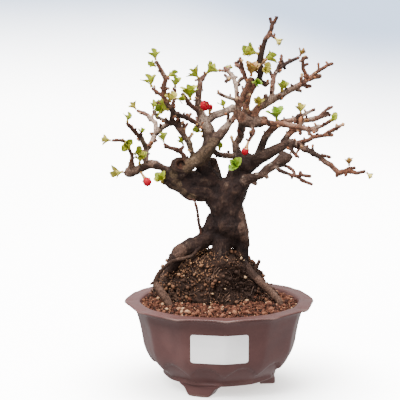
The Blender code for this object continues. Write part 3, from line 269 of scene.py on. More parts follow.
def lumps(points, size, seed=0):
    """Smooth random heights between -1 and 1 at points, with lumps about size across."""
    where = np.asarray(points, float) / size + seed * 17.31
    cell = np.floor(where).astype(np.int64)
    part = where - cell
    fade = part ** 3 * (part * (part * 6 - 15) + 10)
    total = np.zeros(len(where))
    for corner in range(8):
        step = np.array([(corner >> axis) & 1 for axis in range(3)])
        key = ((cell + step) * np.array(HASH_PRIMES)).sum(axis=1) & 0xffffffff
        key = ((key ^ (key >> 13)) * HASH_PRIMES[2]) & 0xffffffff
        height = ((key ^ (key >> 16)) & 0xffffff) / 0x7fffff - 1
        total += height * np.where(step == 1, fade, 1 - fade).prod(axis=1)
    return total


def smooth_step(value, low, high):
    share = np.clip((value - low) / (high - low), 0, 1)
    return share * share * (3 - 2 * share)


def read_rows(rows, key, width, kind=float):
    flat = np.empty(len(rows) * width, kind)
    rows.foreach_get(key, flat)
    return flat.reshape(-1, width)


def read_points(mesh):
    return read_rows(mesh.vertices, "co", 3)


def read_normals(mesh):
    return read_rows(mesh.vertices, "normal", 3)


def read_edges(mesh):
    return read_rows(mesh.edges, "vertices", 2, np.int32)


def write_points(mesh, points):
    mesh.vertices.foreach_set("co", np.asarray(points, np.float32).ravel())
    mesh.update()


def neighbour_mean(values, edges, weights=None):
    """For each vertex, the mean of a value over its neighbours."""
    one, two = edges.T
    weights = np.ones(len(edges)) if weights is None else weights
    count = len(values)
    reach = np.bincount(one, weights, count) + np.bincount(two, weights, count)
    columns = []
    for column in values.reshape(count, -1).T:
        total = np.bincount(one, column[two] * weights, count)
        total += np.bincount(two, column[one] * weights, count)
        columns.append(total / np.maximum(reach, 1e-9))
    return np.stack(columns, 1).reshape(values.shape)


def blurred(values, edges, rounds, share, weights=None):
    """A value evened out over the surface, by so much in each round."""
    for _ in range(rounds):
        values = values + share * (neighbour_mean(values, edges, weights) - values)
    return values


def relax(points, edges, rounds):
    """Smooths a surface, shrinking it and then swelling it back in each round, and gives back its
    points.
    """
    for _ in range(rounds):
        points = blurred(points, edges, 1, 0.5)
        points = blurred(points, edges, 1, -0.525)
    return points


def keep_inside(points):
    """Holds points within the CAD model's box."""
    low, high = CAD_BOX
    return np.clip(points, np.array(low), np.array(high))


def bare_mesh(name, points, faces):
    mesh = bpy.data.meshes.new(name)
    mesh.from_pydata(np.asarray(points).tolist(), [], [tuple(face) for face in faces])
    mesh.update()
    return mesh


def set_maps(mesh, maps):
    """Stores values for each point under their names, for the materials to read."""
    for name, values in maps.items():
        made = mesh.attributes.new(name, "FLOAT", "POINT")
        made.data.foreach_set("value", np.asarray(values, np.float32))


def solid_mesh(name, points, faces, **maps):
    mesh = bare_mesh(name, keep_inside(points), faces)
    set_maps(mesh, maps)
    return mesh


def put(name, mesh, material, slot, *nodes):
    """Places a finished piece: on its body, and for the nodes that it replaces, which it hides; its
    slot is not used.
    """
    mesh.materials.clear()
    mesh.materials.append(material)
    mesh.shade_smooth()
    made = bpy.data.objects.new(name, mesh)
    bpy.context.scene.collection.objects.link(made)
    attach(made, BODY)
    if nodes:
        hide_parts(*nodes)


def remeshed(node, step):
    """A copy of a node's mesh woven anew from even squares, so that it can be worked."""
    worked = bpy.data.objects.new("worked", NODES[node].data.copy())
    bpy.context.scene.collection.objects.link(worked)
    weave = worked.modifiers.new("weave", "REMESH")
    weave.mode = "VOXEL"
    weave.voxel_size = step
    graph = bpy.context.evaluated_depsgraph_get()
    made = bpy.data.meshes.new_from_object(worked.evaluated_get(graph))
    bpy.data.objects.remove(worked)
    return made


def faces_of(mesh):
    return [tuple(face.vertices) for face in mesh.polygons]


def wall(*meshes):
    """The surfaces of meshes, or of nodes by name, to be looked up by ray or nearest point."""
    meshes = [NODES[mesh].data if isinstance(mesh, str) else mesh for mesh in meshes]
    points, faces = joined([(read_points(mesh), faces_of(mesh)) for mesh in meshes])
    return BVHTree.FromPolygons(points.tolist(), faces)


def joined(parts):
    """Several meshes' points, faces and any maps as one."""
    faces, first = [], 0
    parts = list(parts)
    for part in parts:
        faces += [tuple(first + corner for corner in face) for face in part[1]]
        first += len(part[0])
    points, _, *maps = zip(*parts)
    return np.concatenate(points), faces, *(np.concatenate(rows) for rows in maps)


def tube_faces(rings, sides, closed=False):
    """The faces of a tube whose points run ring after ring: closed on itself, or its ends shut."""
    faces = []
    for ring in range(rings if closed else rings - 1):
        low, high = ring * sides, (ring + 1) % rings * sides
        for k in range(sides):
            after = (k + 1) % sides
            faces.append((low + k, low + after, high + after, high + k))
    if not closed:
        last = (rings - 1) * sides
        faces += [tuple(reversed(range(sides))), tuple(range(last, last + sides))]
    return faces


def inside_out(faces):
    return [(face[0], *reversed(face[1:])) for face in faces]


def strand(points, radii, sides=5):
    """The points and faces of a closed thin tube along a path."""
    points = np.asarray(points, float)
    run = np.gradient(points, axis=0)
    run /= np.maximum(np.linalg.norm(run, axis=1, keepdims=True), 1e-12)
    across = np.cross(run[0], (0.3, 0.5, 0.8))
    turn = np.arange(sides)[:, None] * TURN / sides
    rings = []
    for point, along, radius in zip(points, run, radii):
        across = across - along * across.dot(along)
        across /= max(np.linalg.norm(across), 1e-12)
        other = np.cross(along, across)
        rings.append(point + radius * (np.cos(turn) * across + np.sin(turn) * other))
    return np.concatenate(rings), tube_faces(len(points), sides)


def shell(outer, inner, *maps):
    """A thin shell's points, faces and maps, from two sheets of rows and columns of points."""
    rows, columns = outer.shape[:2]
    sheet = rows * columns
    faces = []
    for row in range(rows - 1):
        for k in range(row * columns, row * columns + columns - 1):
            faces.append((k, k + 1, k + columns + 1, k + columns))
            faces.append(tuple(sheet + corner for corner in reversed(faces[-1])))
    rim = list(range(columns)) + [row * columns + columns - 1 for row in range(1, rows)]
    rim += [(rows - 1) * columns + k for k in reversed(range(columns - 1))]
    rim += [row * columns for row in reversed(range(1, rows - 1))]
    faces += [(b, a, sheet + a, sheet + b) for a, b in zip(rim, rim[1:] + rim[:1])]
    maps = [np.tile(np.broadcast_to(values, (rows, columns)).ravel(), 2) for values in maps]
    return np.concatenate([outer.reshape(-1, 3), inner.reshape(-1, 3)]), faces, *maps


def blade_frame(along, up):
    along = along.normalized()
    side = along.cross(up).normalized()
    return along, side, side.cross(along)


def spread_round(axis, turn):
    """A direction square to an axis, turned about it."""
    return Matrix.Rotation(turn, 3, axis) @ axis.orthogonal().normalized()


# The wood

# Limbs whose bark differs, in the order that they are laid on: how strongly, in which colour, and
# where. A place is a point in the drawing's squares, right and up, and how far round it the tone
# reaches in millimetres.
BARK_TONES = {
    "pale": (0.9, (166, 142, 125), (
        (-12, 262, 10), (2, 266, 12), (14, 274, 10), (13, 292, 10), (14, 304, 8), (61, 293, 7),
        (-70, 240, 11), (-66, 256, 12), (-62, 268, 10), (88, 262, 10), (-96, 226, 9),
        (70, 268, 9))),
    "warm": (0.7, (120, 74, 52), (
        (50, 260, 11), (66, 257, 12), (82, 255, 13), (97, 251, 12), (110, 248, 10), (18, 268, 8),
        (26, 284, 12), (33, 298, 10), (-38, 222, 6), (92, 300, 14), (108, 306, 12), (118, 214, 16),
        (34, 275, 9), (-56, 292, 9), (-58, 312, 9))),
    "dark": (0.9, (42, 28, 23), (
        (28, 220, 18), (40, 228, 16), (54, 234, 15), (66, 238, 11), (-8, 236, 9), (-46, 206, 13),
        (-58, 212, 12), (-74, 211, 9), (42, 306, 11), (46, 322, 13), (47, 336, 10), (68, 320, 14),
        (58, 314, 9), (-42, 270, 12), (92, 232, 9), (60, 215, 8), (8, 166, 15), (20, 150, 11),
        (-8, 142, 10))),
    # Pale worn bark on the roots' feet, and on the trunk's right leg a painted highlight where the
    # light falls.
    "worn": (1.0, (108, 81, 68), (
        (25, 170, 7), (24, 158, 7), (25, 148, 6), (-58, 98, 11), (-54, 88, 11), (-50, 78, 10),
        (40, 102, 9), (50, 92, 11), (58, 84, 11), (64, 76, 9), (-40, 134, 8))),
    # Painted shade: in the shaded middle and lower legs of the trunk, and in the creases under the
    # crossing limbs.
    "deep": (1.0, (17, 10, 11), (
        (6, 162, 13), (5, 148, 12), (14, 138, 9), (20, 130, 9), (24, 122, 8), (-4, 134, 9),
        (-6, 126, 8), (-34, 204, 5), (-28, 203, 6), (-22, 208, 6), (-15, 213, 6), (-8, 219, 5),
        (-2, 226, 4))),
    # The crossing limb's olive-brown bark with a painted highlight, and a painted highlight along
    # the arch limb below it.
    "olive": (0.8, (112, 92, 68), (
        (-6, 240, 8), (-14, 232, 9), (-22, 226, 9), (-30, 219, 8), (-28, 243, 9), (-46, 211, 5),
        (-43, 201, 6), (-37, 193, 5), (-28, 188, 5)))}
# The thin root that hangs free on the left: right, up and depth as drawn, and its width in
# millimetres.
AERIAL_ROOT = (
    (-38, 192, -9, 2.0), (-32, 185, -13, 1.8), (-26, 183, -14, 1.7), (-23, 174.5, -13, 1.6),
    (-21, 158.6, -10, 1.6), (-19.6, 155.5, -9, 2.4), (-19, 146, -6, 2))
AERIAL_STEPS = 36
# Places where a cut limb has rotted hollow: right, up, radius and depth in millimetres.
HOLLOWS = ((-38, 221, 4.6, 1.5), (6, 206, 4.0, 0.6), (16, 196, 3.4, 0.5))

# Rounds of smoothing: of the weave, of the measured girth, of the surface before it is cut, of the
# streaks and of the surface that dips are measured against.
WEAVE_ROUNDS = 10
GIRTH_ROUNDS = 9
SWEEP_ROUNDS = 9
STREAK_ROUNDS = 26
DIP_ROUNDS = 26
STREAK_SEED = 4
# The thickest limb that is told from the trunk, and how far under the bark its far side is sought.
THICKEST = 30 * MM
LOOK_START = 0.2 * MM
LOOK_END = 45 * MM
# Spurs grow on wood thinner than this in millimetres, above this height, and about this far apart.
SPUR_GIRTH = 6.4
SPUR_LEVEL = 188 * MM
SPUR_APART = 4.6 * MM
SPUR_SEED = 23
SPUR_SIDES = 6
# A spur's lengths in millimetres with how common they are, and its widths from foot to tip.
SPUR_LENGTHS = ((1.0, 2.2), (2.2, 3.8), (3.8, 6.0))
SPUR_CHANCES = (0.76, 0.15, 0.09)
SPUR_PROFILE = (1.2, 1.05, 0.85, 1.0, 0.85, 1.15, 0.35)


def thickness(points, normals, faces):
    """How thick the wood is under each vertex, in metres, from a ray through it."""
    tree = BVHTree.FromPolygons(points.tolist(), faces)
    found = np.full(len(points), THICKEST)
    for k, (point, normal) in enumerate(zip(points, normals)):
        inward = Vector(-normal)
        far = tree.ray_cast(Vector(point) + inward * LOOK_START, inward, LOOK_END)[3]
        if far is not None:
            found[k] = far + LOOK_START
    return found


def streaks(points, normals, edges):
    """Random heights drawn out along the limbs, as the ridges of old bark are."""
    # A limb runs the way that its normals turn about.
    spread = np.einsum("ni,nj->nij", normals, normals).reshape(-1, 9)
    _, turned = np.linalg.eigh(blurred(spread, edges, 8, 0.7).reshape(-1, 3, 3))
    one, two = edges.T
    run = points[two] - points[one]
    run /= np.maximum(np.linalg.norm(run, axis=1, keepdims=True), 1e-9)
    weights = np.abs((run * turned[one, :, 0]).sum(axis=1)) ** 8 + 0.015
    values = np.random.default_rng(STREAK_SEED).uniform(-1, 1, len(points))
    values = blurred(values, edges, STREAK_ROUNDS, 0.75, weights)
    values -= values.mean()
    return values / (2 * values.std())


def from_front(points, right, up):
    """How far points lie from a place of the front drawing, seen from in front, in millimetres."""
    spot = drawn(right, up)
    return np.hypot(points[:, 0] - spot.x, points[:, 2] - spot.z) / MM


def hollows(points, normals):
    """The rotted places, each a raised ring about a crescent of shade, in millimetres outwards."""
    out = np.zeros(len(points))
    front = smooth_step(-normals[:, 1], 0.25, 0.6)
    for right, up, reach, depth in HOLLOWS:
        far = from_front(points, right, up) * (1 + 0.3 * lumps(points, 4 * MM, 9))
        rise = (points[:, 2] - drawn(right, up).z) / MM
        rim = np.exp(-((far - reach) / 1.1) ** 2)
        crescent = np.exp(-((far - reach * 0.66) / (reach * 0.2)) ** 2)
        crescent *= smooth_step(rise, -reach * 0.6, reach * 0.5)
        out += front * (rim * 0.5 - depth * crescent)
    return out


class WoodSettings(bpy.types.PropertyGroup):
    voxel: FloatProperty(
        name="Surface step", description="Distance between the wood's points", default=0.82 * MM,
        min=0.4 * MM, unit="LENGTH", precision=5)
    roughness: FloatProperty(
        name="Bark relief", description="How much of the bark's relief is cut", default=1.0,
        min=0.0, max=2.0, subtype="FACTOR")
    spurs: IntProperty(
        name="Spurs", description="How many short spurs with bud scales the limbs carry",
        default=270, min=1)
    old_bark: colour_property("Old bark", "Bark of the trunk and the roots", colour(33, 20, 17))
    limb_bark: colour_property("Limb bark", "Grey bark of the limbs", colour(114, 90, 76))
    twig_bark: colour_property("Twig bark", "Red-brown bark of the young twigs", colour(98, 64, 51))


def bark(settings):
    """Grey-brown bark: dark cracks, pale worn ridges, lens-shaped pores, painted shade and
    highlights.
    """
    paint = Paint("Bark", 0.8, 0.15)
    girth, streak, relief, age, dip, under = (
        paint.map(name) for name in ("girth", "streak", "relief", "age", "dip", "under"))
    patches = paint.cloud(8 * MM, 4, 0.65)
    fine = paint.cloud(1.5 * MM, 5, 0.7)
    grain = paint.cloud(0.45 * MM, 3, 0.6)
    young = paint.mix(paint.band(girth, 2.4, 5.5), settings.twig_bark, settings.limb_bark)
    base = paint.mix(age, young, settings.old_bark)
    torn = (patches - 0.5) * 1.1
    for tone, (share, shade, _) in BARK_TONES.items():
        base = paint.mix(paint.band(paint.map(tone) + torn, 0.2, 0.75) * (share - age * 0.35),
                         base, colour(*shade))
    brown = paint.band(patches, 0.44, 0.62) * (0.3 + age * 0.15)
    worn = paint.band(relief + streak * 0.5, 0.3, 1.3) * paint.band(fine, 0.35, 0.6)
    scales = paint.cells(1.7 * MM, (1, 1, 0.7), "DISTANCE_TO_EDGE")
    cracks = 1 - paint.band(relief + streak * 0.7 + fine * 0.8, -0.8, 0.3)
    cracks = 1 - (1 - cracks) * paint.band(scales + fine * 0.12, 0.07, 0.16)
    pores = 1 - paint.band(paint.cells(2.1 * MM), 0.16, 0.3)
    pores = pores * paint.band(paint.cloud(6 * MM), 0.45, 0.6) * (1 - age)
    base = paint.coats(
        base,
        (brown, paint.mix(age, colour(84, 57, 44), colour(56, 37, 29))),
        (worn * (1 - age * 0.75) * 0.5, colour(178, 158, 140)),
        (cracks * 0.75, colour(36, 25, 21)),
        # A painted highlight on the convex old wood, then painted shade in the dips.
        (paint.band(dip * -1, 0.2, 1.3) * age * 0.22, colour(98, 72, 56)),
        (paint.band(dip, 0.0, 0.7) * 0.8, colour(24, 15, 13)),
        (pores * 0.5, colour(50, 32, 26)),
        # Painted shade on the undersides, where the bark faces down.
        (under * 0.6, colour(38, 27, 23)))
    rough = paint.band(fine, 0.3, 0.7) * 0.65 + paint.band(grain, 0.3, 0.7) * 0.4
    base = paint.scaled(base, 0.56 + age * 0.16 + rough * (0.68 - age * 0.28))
    height = fine * 0.7 + grain * 0.35 - pores * 0.6 - cracks * 0.6
    return paint.finish(base, paint.ramp(fine, (0.3, 0.9), (0.7, 0.6)), height, 0.45 * MM)


class BONSAI_OT_wood(bpy.types.Operator):
    """Roots, trunk, limbs and twigs with their bark"""
    bl_idname = "bonsai.wood"
    bl_label = "Wood"

    def execute(self, context):
        settings = context.scene.bonsai_wood
        mesh = remeshed("tree", settings.voxel)
        edges = read_edges(mesh)
        points = relax(read_points(mesh), edges, WEAVE_ROUNDS)
        write_points(mesh, points)
        normals = read_normals(mesh)
        girth = thickness(points, normals, faces_of(mesh)) / MM
        girth = blurred(girth, edges, GIRTH_ROUNDS, 0.6)
        # Thick wood loses its facets, and gains back what that takes off.
        thick = smooth_step(girth, 7, 14)[:, None]
        points = blurred(points, edges, SWEEP_ROUNDS, 0.5 * thick) + normals * (0.35 * MM * thick)
        write_points(mesh, points)
        normals = read_normals(mesh)
        streak = streaks(points, normals, edges)
        big = lumps(points, 8 * MM, 1) + 0.5 * lumps(points, 4.5 * MM, 2)
        fine = lumps(points, 2.6 * MM, 3) + 0.6 * lumps(points, 1.5 * MM, 4)
        swell = np.clip(lumps(points, 3.4 * MM, 6) - 0.3, 0, 1) * smooth_step(girth, 8, 3)
        out = big * np.clip(girth * 0.045, 0.05, 1.0)
        out += fine * np.clip(girth * 0.022, 0.03, 0.26)
        out += streak * np.clip((girth - 4) * 0.03, 0, 0.42)
        out += swell * 1.2 + 0.4 * smooth_step(girth, 6.0, 3.0) + 0.3 * smooth_step(girth, 2.1, 1.3)
        out = out * settings.roughness + hollows(points, normals)
        points = keep_inside(points + normals * (out * MM)[:, None])
        write_points(mesh, points)
        relief = 0.6 * big + 0.5 * fine
        set_maps(mesh, {"girth": girth, "streak": streak, "relief": relief})
        set_maps(mesh, self.weathering_and_shade_maps(mesh, points, normals, edges, girth))
        put("quince_wood", mesh, bark(settings), "bark", "tree")
        self.add_spurs(settings, points, read_normals(mesh), girth)
        self.add_aerial_root()
        return {"FINISHED"}

    def weathering_and_shade_maps(self, mesh, points, outward, edges, girth):
        """Where the bark is old, lies in a dip, faces down or has a tone of its own, for its tones
        and its painted shade and highlights.
        """
        level = points[:, 2] / MM
        age = smooth_step(girth, 7, 13) * smooth_step(level, 238, 200)
        # How far the bark lies in a dip: the material paints shade in the dips and a highlight
        # where it bulges.
        dip = ((blurred(points, edges, DIP_ROUNDS, 1.0) - points) * outward).sum(axis=1) / MM
        # How far the bark faces down: the material paints shade there.
        down = blurred(-read_normals(mesh)[:, 2], edges, 6, 0.5)
        maps = {"age": np.maximum(age, smooth_step(level, 160, 140)), "dip": dip,
                "under": smooth_step(down, 0.1, 0.85)}
        for tone, (_, _, limbs) in BARK_TONES.items():
            maps[tone] = np.max([smooth_step(from_front(points, right, up), reach, reach * 0.5)
                                 for right, up, reach in limbs], axis=0)
        return maps

    def add_spurs(self, settings, points, normals, girth):
        """Short knobby spurs with their bud scales, spread over the thinner limbs."""
        draw = np.random.default_rng(SPUR_SEED)
        likely = np.flatnonzero((girth < SPUR_GIRTH) & (points[:, 2] > SPUR_LEVEL))
        used, parts = set(), []
        share = np.linspace(-0.25, 1, len(SPUR_PROFILE))[:, None]
        for k in draw.permutation(likely):
            if len(parts) >= settings.spurs:
                break
            cell = tuple(np.floor(points[k] / (SPUR_APART * draw.uniform(0.7, 1.3))).astype(int))
            if cell in used:
                continue
            used.add(cell)
            way = normals[k] + np.array((0, 0, 0.9)) + draw.normal(size=3) * 0.3
            way /= np.linalg.norm(way)
            if way[2] < 0.1:
                continue
            bend = draw.normal(size=3) * 0.35
            long = draw.choice([draw.uniform(*ends) for ends in SPUR_LENGTHS], p=SPUR_CHANCES)
            thick = (draw.uniform(0.75, 1.1) + 0.08 * long) * MM
            long *= MM
            path = points[k] + way * long * share + bend * long * np.clip(share, 0, 1) ** 2
            radii = thick * np.array(SPUR_PROFILE) * draw.uniform(0.85, 1.15, len(SPUR_PROFILE))
            tube = strand(path, radii, SPUR_SIDES)
            tone = np.full(len(tube[0]), draw.random())
            parts.append((*tube, np.repeat(share, SPUR_SIDES), tone))
        spots, faces, tip, tone = joined(parts)
        paint = Paint("Spurs", 0.75, 0.15)
        fine = paint.cloud(0.6 * MM, 3, 0.6)
        stray = fine - 0.5
        wood = paint.ramp(paint.map("tone") + stray * 0.3, (0.1, colour(52, 36, 30)),
                          (0.5, colour(92, 64, 50)), (0.9, colour(136, 108, 88)))
        scale = paint.ramp(
            paint.map("tone") + stray * 0.6, (0.1, colour(58, 36, 28)), (0.45, colour(100, 58, 41)),
            (0.75, colour(146, 92, 58)), (0.98, colour(178, 144, 92)))
        base = paint.mix(paint.band(paint.map("tip") + stray * 0.5, 0.35, 0.7), wood, scale)
        put("bud_spurs", solid_mesh("bud_spurs", spots, faces, tip=tip, tone=tone),
            paint.finish(base, None, fine, 0.2 * MM), "bark")

    def add_aerial_root(self):
        """The thin root that hangs free at the left of the trunk."""
        spots = np.array([drawn(*row[:3]) for row in AERIAL_ROOT])
        along = np.linspace(0, len(spots) - 1, AERIAL_STEPS)
        path = np.stack([np.interp(along, range(len(spots)), column) for column in spots.T], 1)
        for _ in range(3):
            path[1:-1] = (path[:-2] + 2 * path[1:-1] + path[2:]) / 4
        path = path + 0.25 * MM * lumps(path, 7 * MM, 51)[:, None]
        radii = np.interp(along, range(len(spots)), [row[3] / 2 for row in AERIAL_ROOT])
        radii = (radii + 0.12 + 0.25 * np.clip(lumps(path, 3 * MM, 52), 0, 1)) * MM
        paint = Paint("Aerial root", 0.7, 0.15)
        brown = paint.ramp(
            paint.cloud(2 * MM, 3), (0.35, colour(44, 27, 23)), (0.7, colour(96, 62, 50)))
        mesh = solid_mesh("aerial_root", *strand(path, radii, 8))
        put("aerial_root", mesh, paint.finish(brown), "bark")


# The bowl

LOBES = 12
LOBE_START = math.radians(4.0)
LOBE_FLATNESS = 0.034
FEET = 3
FIRST_FOOT = math.radians(-22.0)
POT_COLUMNS = 360
# The bowl's closed section in millimetres: radius, height, and its share of the lobes and arches.
POT_SECTION = (
    (9, 11, 0, 0), (26, 11, 0, 0), (42.5, 11, 0.3, 0), (44, 9.9, 0.4, 0), (45.6, 9.5, 0.4, 0),
    (47.2, 9.9, 0.5, 0), (47.8, 11, 0.5, 0), (47.3, 12.4, 0.6, 0), (49.4, 13.8, 0.7, 1),
    (52.2, 16.4, 0.8, 1), (55.6, 20, 0.9, 1), (58.8, 24, 1, 1), (61.2, 27.8, 1.1, 1),
    (63, 31.5, 1.1, 1), (64.2, 35.2, 1.1, 0.8), (64.9, 39, 1.1, 0.4), (65.6, 43, 1.1, 0),
    (66.3, 47, 1.1, 0), (67.1, 51, 1, 0), (68, 55, 1, 0), (69.1, 59, 0.9, 0), (70.3, 62.6, 0.9, 0),
    (71.5, 65.6, 0.8, 0), (73, 68, 0.6, 0), (75.2, 69.6, 0.45, 0), (77.8, 70.4, 0.35, 0),
    (79.4, 71, 0.3, 0), (79.8, 71.8, 0.3, 0), (79.2, 72.5, 0.3, 0), (77.6, 72.7, 0.35, 0),
    (73, 72.5, 0.5, 0), (69, 72.4, 0.5, 0), (67.4, 71.8, 0.5, 0), (66.3, 70, 0.5, 0),
    (64, 60, 0.9, 0), (61.4, 46, 1, 0), (59.4, 35, 1, 0), (53.6, 25, 0.9, 0), (44, 18, 0.6, 0),
    (26, 17, 0, 0), (9, 17, 0, 0))
SMOOTH_STEPS = 3
POT_REACH = 79.7
# A bracket foot's outline, across and up, and its depth: radii with the outline's share at each.
FOOT_OUTLINE = (
    (-21.5, 14), (-18.6, 9.2), (-14, 6.8), (-11.6, 3.6), (-9.6, 0.8), (-6.4, 0), (0, 0), (6.4, 0),
    (9.6, 0.8), (11.6, 3.6), (14, 6.8), (18.6, 9.2), (21.5, 14))
FOOT_DEPTH = ((34, 0.9), (34.6, 1), (45.4, 1), (46.6, 0.97), (47, 0.9))
FOOT_TOP = 13
FOOT_STEPS = 4
# The arches that close the lobes above the foot, in millimetres.
ARCH_FOOT = 15.0
ARCH_RISE = 12.5
ARCH_STEP = 2.0
# How soft the ridges between the lobes are.
RIDGE_ROUND = 0.035


def smooth_loop(rows, steps):
    """A closed loop of rows of numbers, drawn through by a smooth curve."""
    rows = np.array(rows, float)
    before, after, next_after = np.roll(rows, 1, 0), np.roll(rows, -1, 0), np.roll(rows, -2, 0)
    bend = 2 * before - 5 * rows + 4 * after - next_after
    turn = 3 * rows - before - 3 * after + next_after
    made = [0.5 * (2 * rows + (after - before) * t + bend * t ** 2 + turn * t ** 3)
            for t in (step / steps for step in range(steps))]
    return np.stack(made, 1).reshape(-1, rows.shape[1])


def around(angle, radius, height):
    """Points about the bowl's axis, at an angle from the front towards the right."""
    return np.stack(np.broadcast_arrays(
        AXIS.x + radius * np.sin(angle), AXIS.y - radius * np.cos(angle), height), -1)


def bowl_body():
    """The bowl's wall, lip and floor: its section carried round, with its lobes and arches."""
    section = smooth_loop(POT_SECTION, SMOOTH_STEPS)
    angle = np.linspace(0, TURN, POT_COLUMNS, endpoint=False)[:, None]
    radius, height, lobes, arches = section.T
    between = np.sqrt(np.sin(LOBES * (angle - LOBE_START) / 2) ** 2 + RIDGE_ROUND)
    arch = ARCH_FOOT + ARCH_RISE * between ** 0.7
    over = smooth_step(height, arch - 0.5, arch + 0.5)
    above = over * (1 - smooth_step(height, arch + 2, arch + 13))
    radius = radius * (1 - lobes * LOBE_FLATNESS * between ** 0.9)
    radius = radius - ARCH_STEP * (0.7 * (1 - over) - 0.3 * above) * arches
    lip = smooth_step(radius, 68, 76) * smooth_step(height, 64, 69)
    sway = 0.5 * np.sin(3 * angle + 1) + 0.35 * np.sin(5 * angle + 2.2)
    height = height + lip * (0.5 * sway - 1.3 * (1 - between) ** 3 - 0.25)
    radius = radius * (1 - lip * 0.012 * between ** 2) + lip * (0.3 * np.sin(7 * angle) - 0.3)
    points = around(angle, np.minimum(radius, POT_REACH) * MM, height * MM)
    return points.reshape(-1, 3), inside_out(tube_faces(POT_COLUMNS, len(section), closed=True))


def bowl_foot(angle):
    """One bracket foot: its outline from outside, narrower to the toe, cut to the bowl's curve."""
    across, up = smooth_loop(FOOT_OUTLINE, FOOT_STEPS).T
    rings = []
    for radius, swell in FOOT_DEPTH:
        height = FOOT_TOP - (FOOT_TOP - up) * (1 - (1 - swell) * 0.8)
        height = np.maximum(height, 0)
        rings.append(around(angle + across * swell / radius, radius * MM, height * MM))
    return np.concatenate(rings), inside_out(tube_faces(len(rings), len(up)))


def clay_wear(points):
    """How worn the clay is at points: at the lip's edge, on the ridges and under the feet."""
    across, back, up = (points - np.array(AXIS)).T
    radius, height = np.hypot(across, back) / MM, up / MM
    ridge = 1 - np.abs(np.sin(LOBES * (np.arctan2(across, -back) - LOBE_START) / 2))
    lip = smooth_step(radius, 77.2, 79.6) * smooth_step(height, 64, 69)
    ridges = 0.2 * ridge ** 4 * smooth_step(radius, 60, 66)
    return np.max([lip, ridges, smooth_step(height, 3, 0.5)], axis=0)


def clay(settings):
    """Dark satin clay: purple brown, mottled, paler where the rim and the ridges are worn, with
    painted shade on the lip's top.
    """
    paint = Paint("Bowl clay", gloss=0.2)
    mottle = paint.cloud(14 * MM, 5, 0.6)
    fine = paint.cloud(1.2 * MM, 4, 0.65)
    specks = paint.band(paint.cells(1.7 * MM), 0.10, 0.2)
    wear = paint.band(paint.map("wear") + (fine - 0.5) * 0.6 + (mottle - 0.5) * 0.8, 0.35, 1.0)
    # The lip's top is darker towards the right: painted shade, which leaves its left side lighter.
    lip = paint.band(paint.along(2), 69.5 * MM, 72 * MM)
    lip = lip * (0.1 + paint.band(paint.along(0), -85 * MM, -20 * MM) * 0.45)
    base = paint.coats(
        paint.mix(mottle, colour(70, 45, 44), settings.clay),
        (paint.band(paint.cloud(30 * MM, 3), 0.5, 0.75) * 0.25, colour(104, 74, 70)),
        (lip, colour(50, 26, 21)),
        (wear * 0.5, colour(116, 94, 87)),
        ((1 - specks) * 0.3, colour(38, 24, 25)))
    rough = paint.ramp(mottle * 0.6 + fine * 0.4, (0.3, 0.36), (0.7, 0.54))
    return paint.finish(base, rough, fine * 0.5 + mottle * 0.6 + specks * 0.2, 0.18 * MM, 0.6)


class BowlSettings(bpy.types.PropertyGroup):
    clay: colour_property("Clay", "The bowl's fired clay", colour(91, 61, 58))
    label: colour_property("Label", "The blank sticker", colour(250, 247, 246))


class BONSAI_OT_bowl(bpy.types.Operator):
    """The lobed bowl with its lip and its bracket feet"""
    bl_idname = "bonsai.bowl"
    bl_label = "Bowl"

    def execute(self, context):
        feet = [bowl_foot(FIRST_FOOT + TURN * foot / FEET) for foot in range(FEET)]
        points, faces = joined([bowl_body(), *feet])
        points = keep_inside(points)
        mesh = solid_mesh("bowl", points, faces, wear=clay_wear(points))
        put("clay_bowl", mesh, clay(context.scene.bonsai_bowl), "clay", "pot")
        return {"FINISHED"}


LABEL_HALF = 23.2 * MM
LABEL_LOW = 33.0 * MM
LABEL_HIGH = 57.4 * MM
LABEL_CORNER = 2.2 * MM
LABEL_THICKNESS = 0.25 * MM
LABEL_LIFT = 0.15 * MM
LABEL_COLUMNS = 96
LABEL_ROWS = 36
# How far in front of the bowl's axis the rays start that lay the label on it.
LABEL_START = 0.2


class BONSAI_OT_label(bpy.types.Operator):
    """The blank sticker on the bowl's front"""
    bl_idname = "bonsai.label"
    bl_label = "Label"

    def execute(self, context):
        bowl = wall(bpy.data.objects["clay_bowl"].data)
        laid = [self.laid(bowl, column / LABEL_COLUMNS, row / LABEL_ROWS)
                for row in range(LABEL_ROWS + 1) for column in range(LABEL_COLUMNS + 1)]
        outer, inner = (
            np.array([spot + normal * lift for spot, normal in laid]).reshape(LABEL_ROWS + 1, -1, 3)
            for lift in (LABEL_LIFT + LABEL_THICKNESS, LABEL_LIFT))
        paint = Paint("Sticker", 0.42, 0.4)
        grime = paint.band(paint.cloud(9 * MM, 4, 0.6), 0.5, 0.8)
        base = paint.mix(grime * 0.12, context.scene.bonsai_bowl.label, colour(196, 186, 180))
        material = paint.finish(base, paint.ramp(grime, (0, 0.36), (1, 0.6)),
                                paint.cloud(0.5 * MM, 2), 0.02 * MM, 0.4)
        mesh = solid_mesh("label", *shell(outer, inner))
        put("blank_label", mesh, material, "label", "pot_label")
        return {"FINISHED"}

    def laid(self, bowl, right, up):
        """The bowl's surface, and its normal, under a place of the label from 0 to 1 each way."""
        half_high = (LABEL_HIGH - LABEL_LOW) / 2
        rise = half_high * math.sin(math.pi * (up - 0.5))
        into = max(0.0, abs(rise) - half_high + LABEL_CORNER)
        half = LABEL_HALF - LABEL_CORNER + math.sqrt(max(LABEL_CORNER ** 2 - into ** 2, 0))
        middle = (LABEL_LOW + LABEL_HIGH) / 2
        place = AXIS + Vector((half * (2 * right - 1), -LABEL_START, middle + rise))
        spot, normal, _, _ = bowl.ray_cast(place, Vector((0, 1, 0)))
        if spot is None:
            raise RuntimeError("the label misses the bowl")
        return spot, normal


# Roots, soil and grit

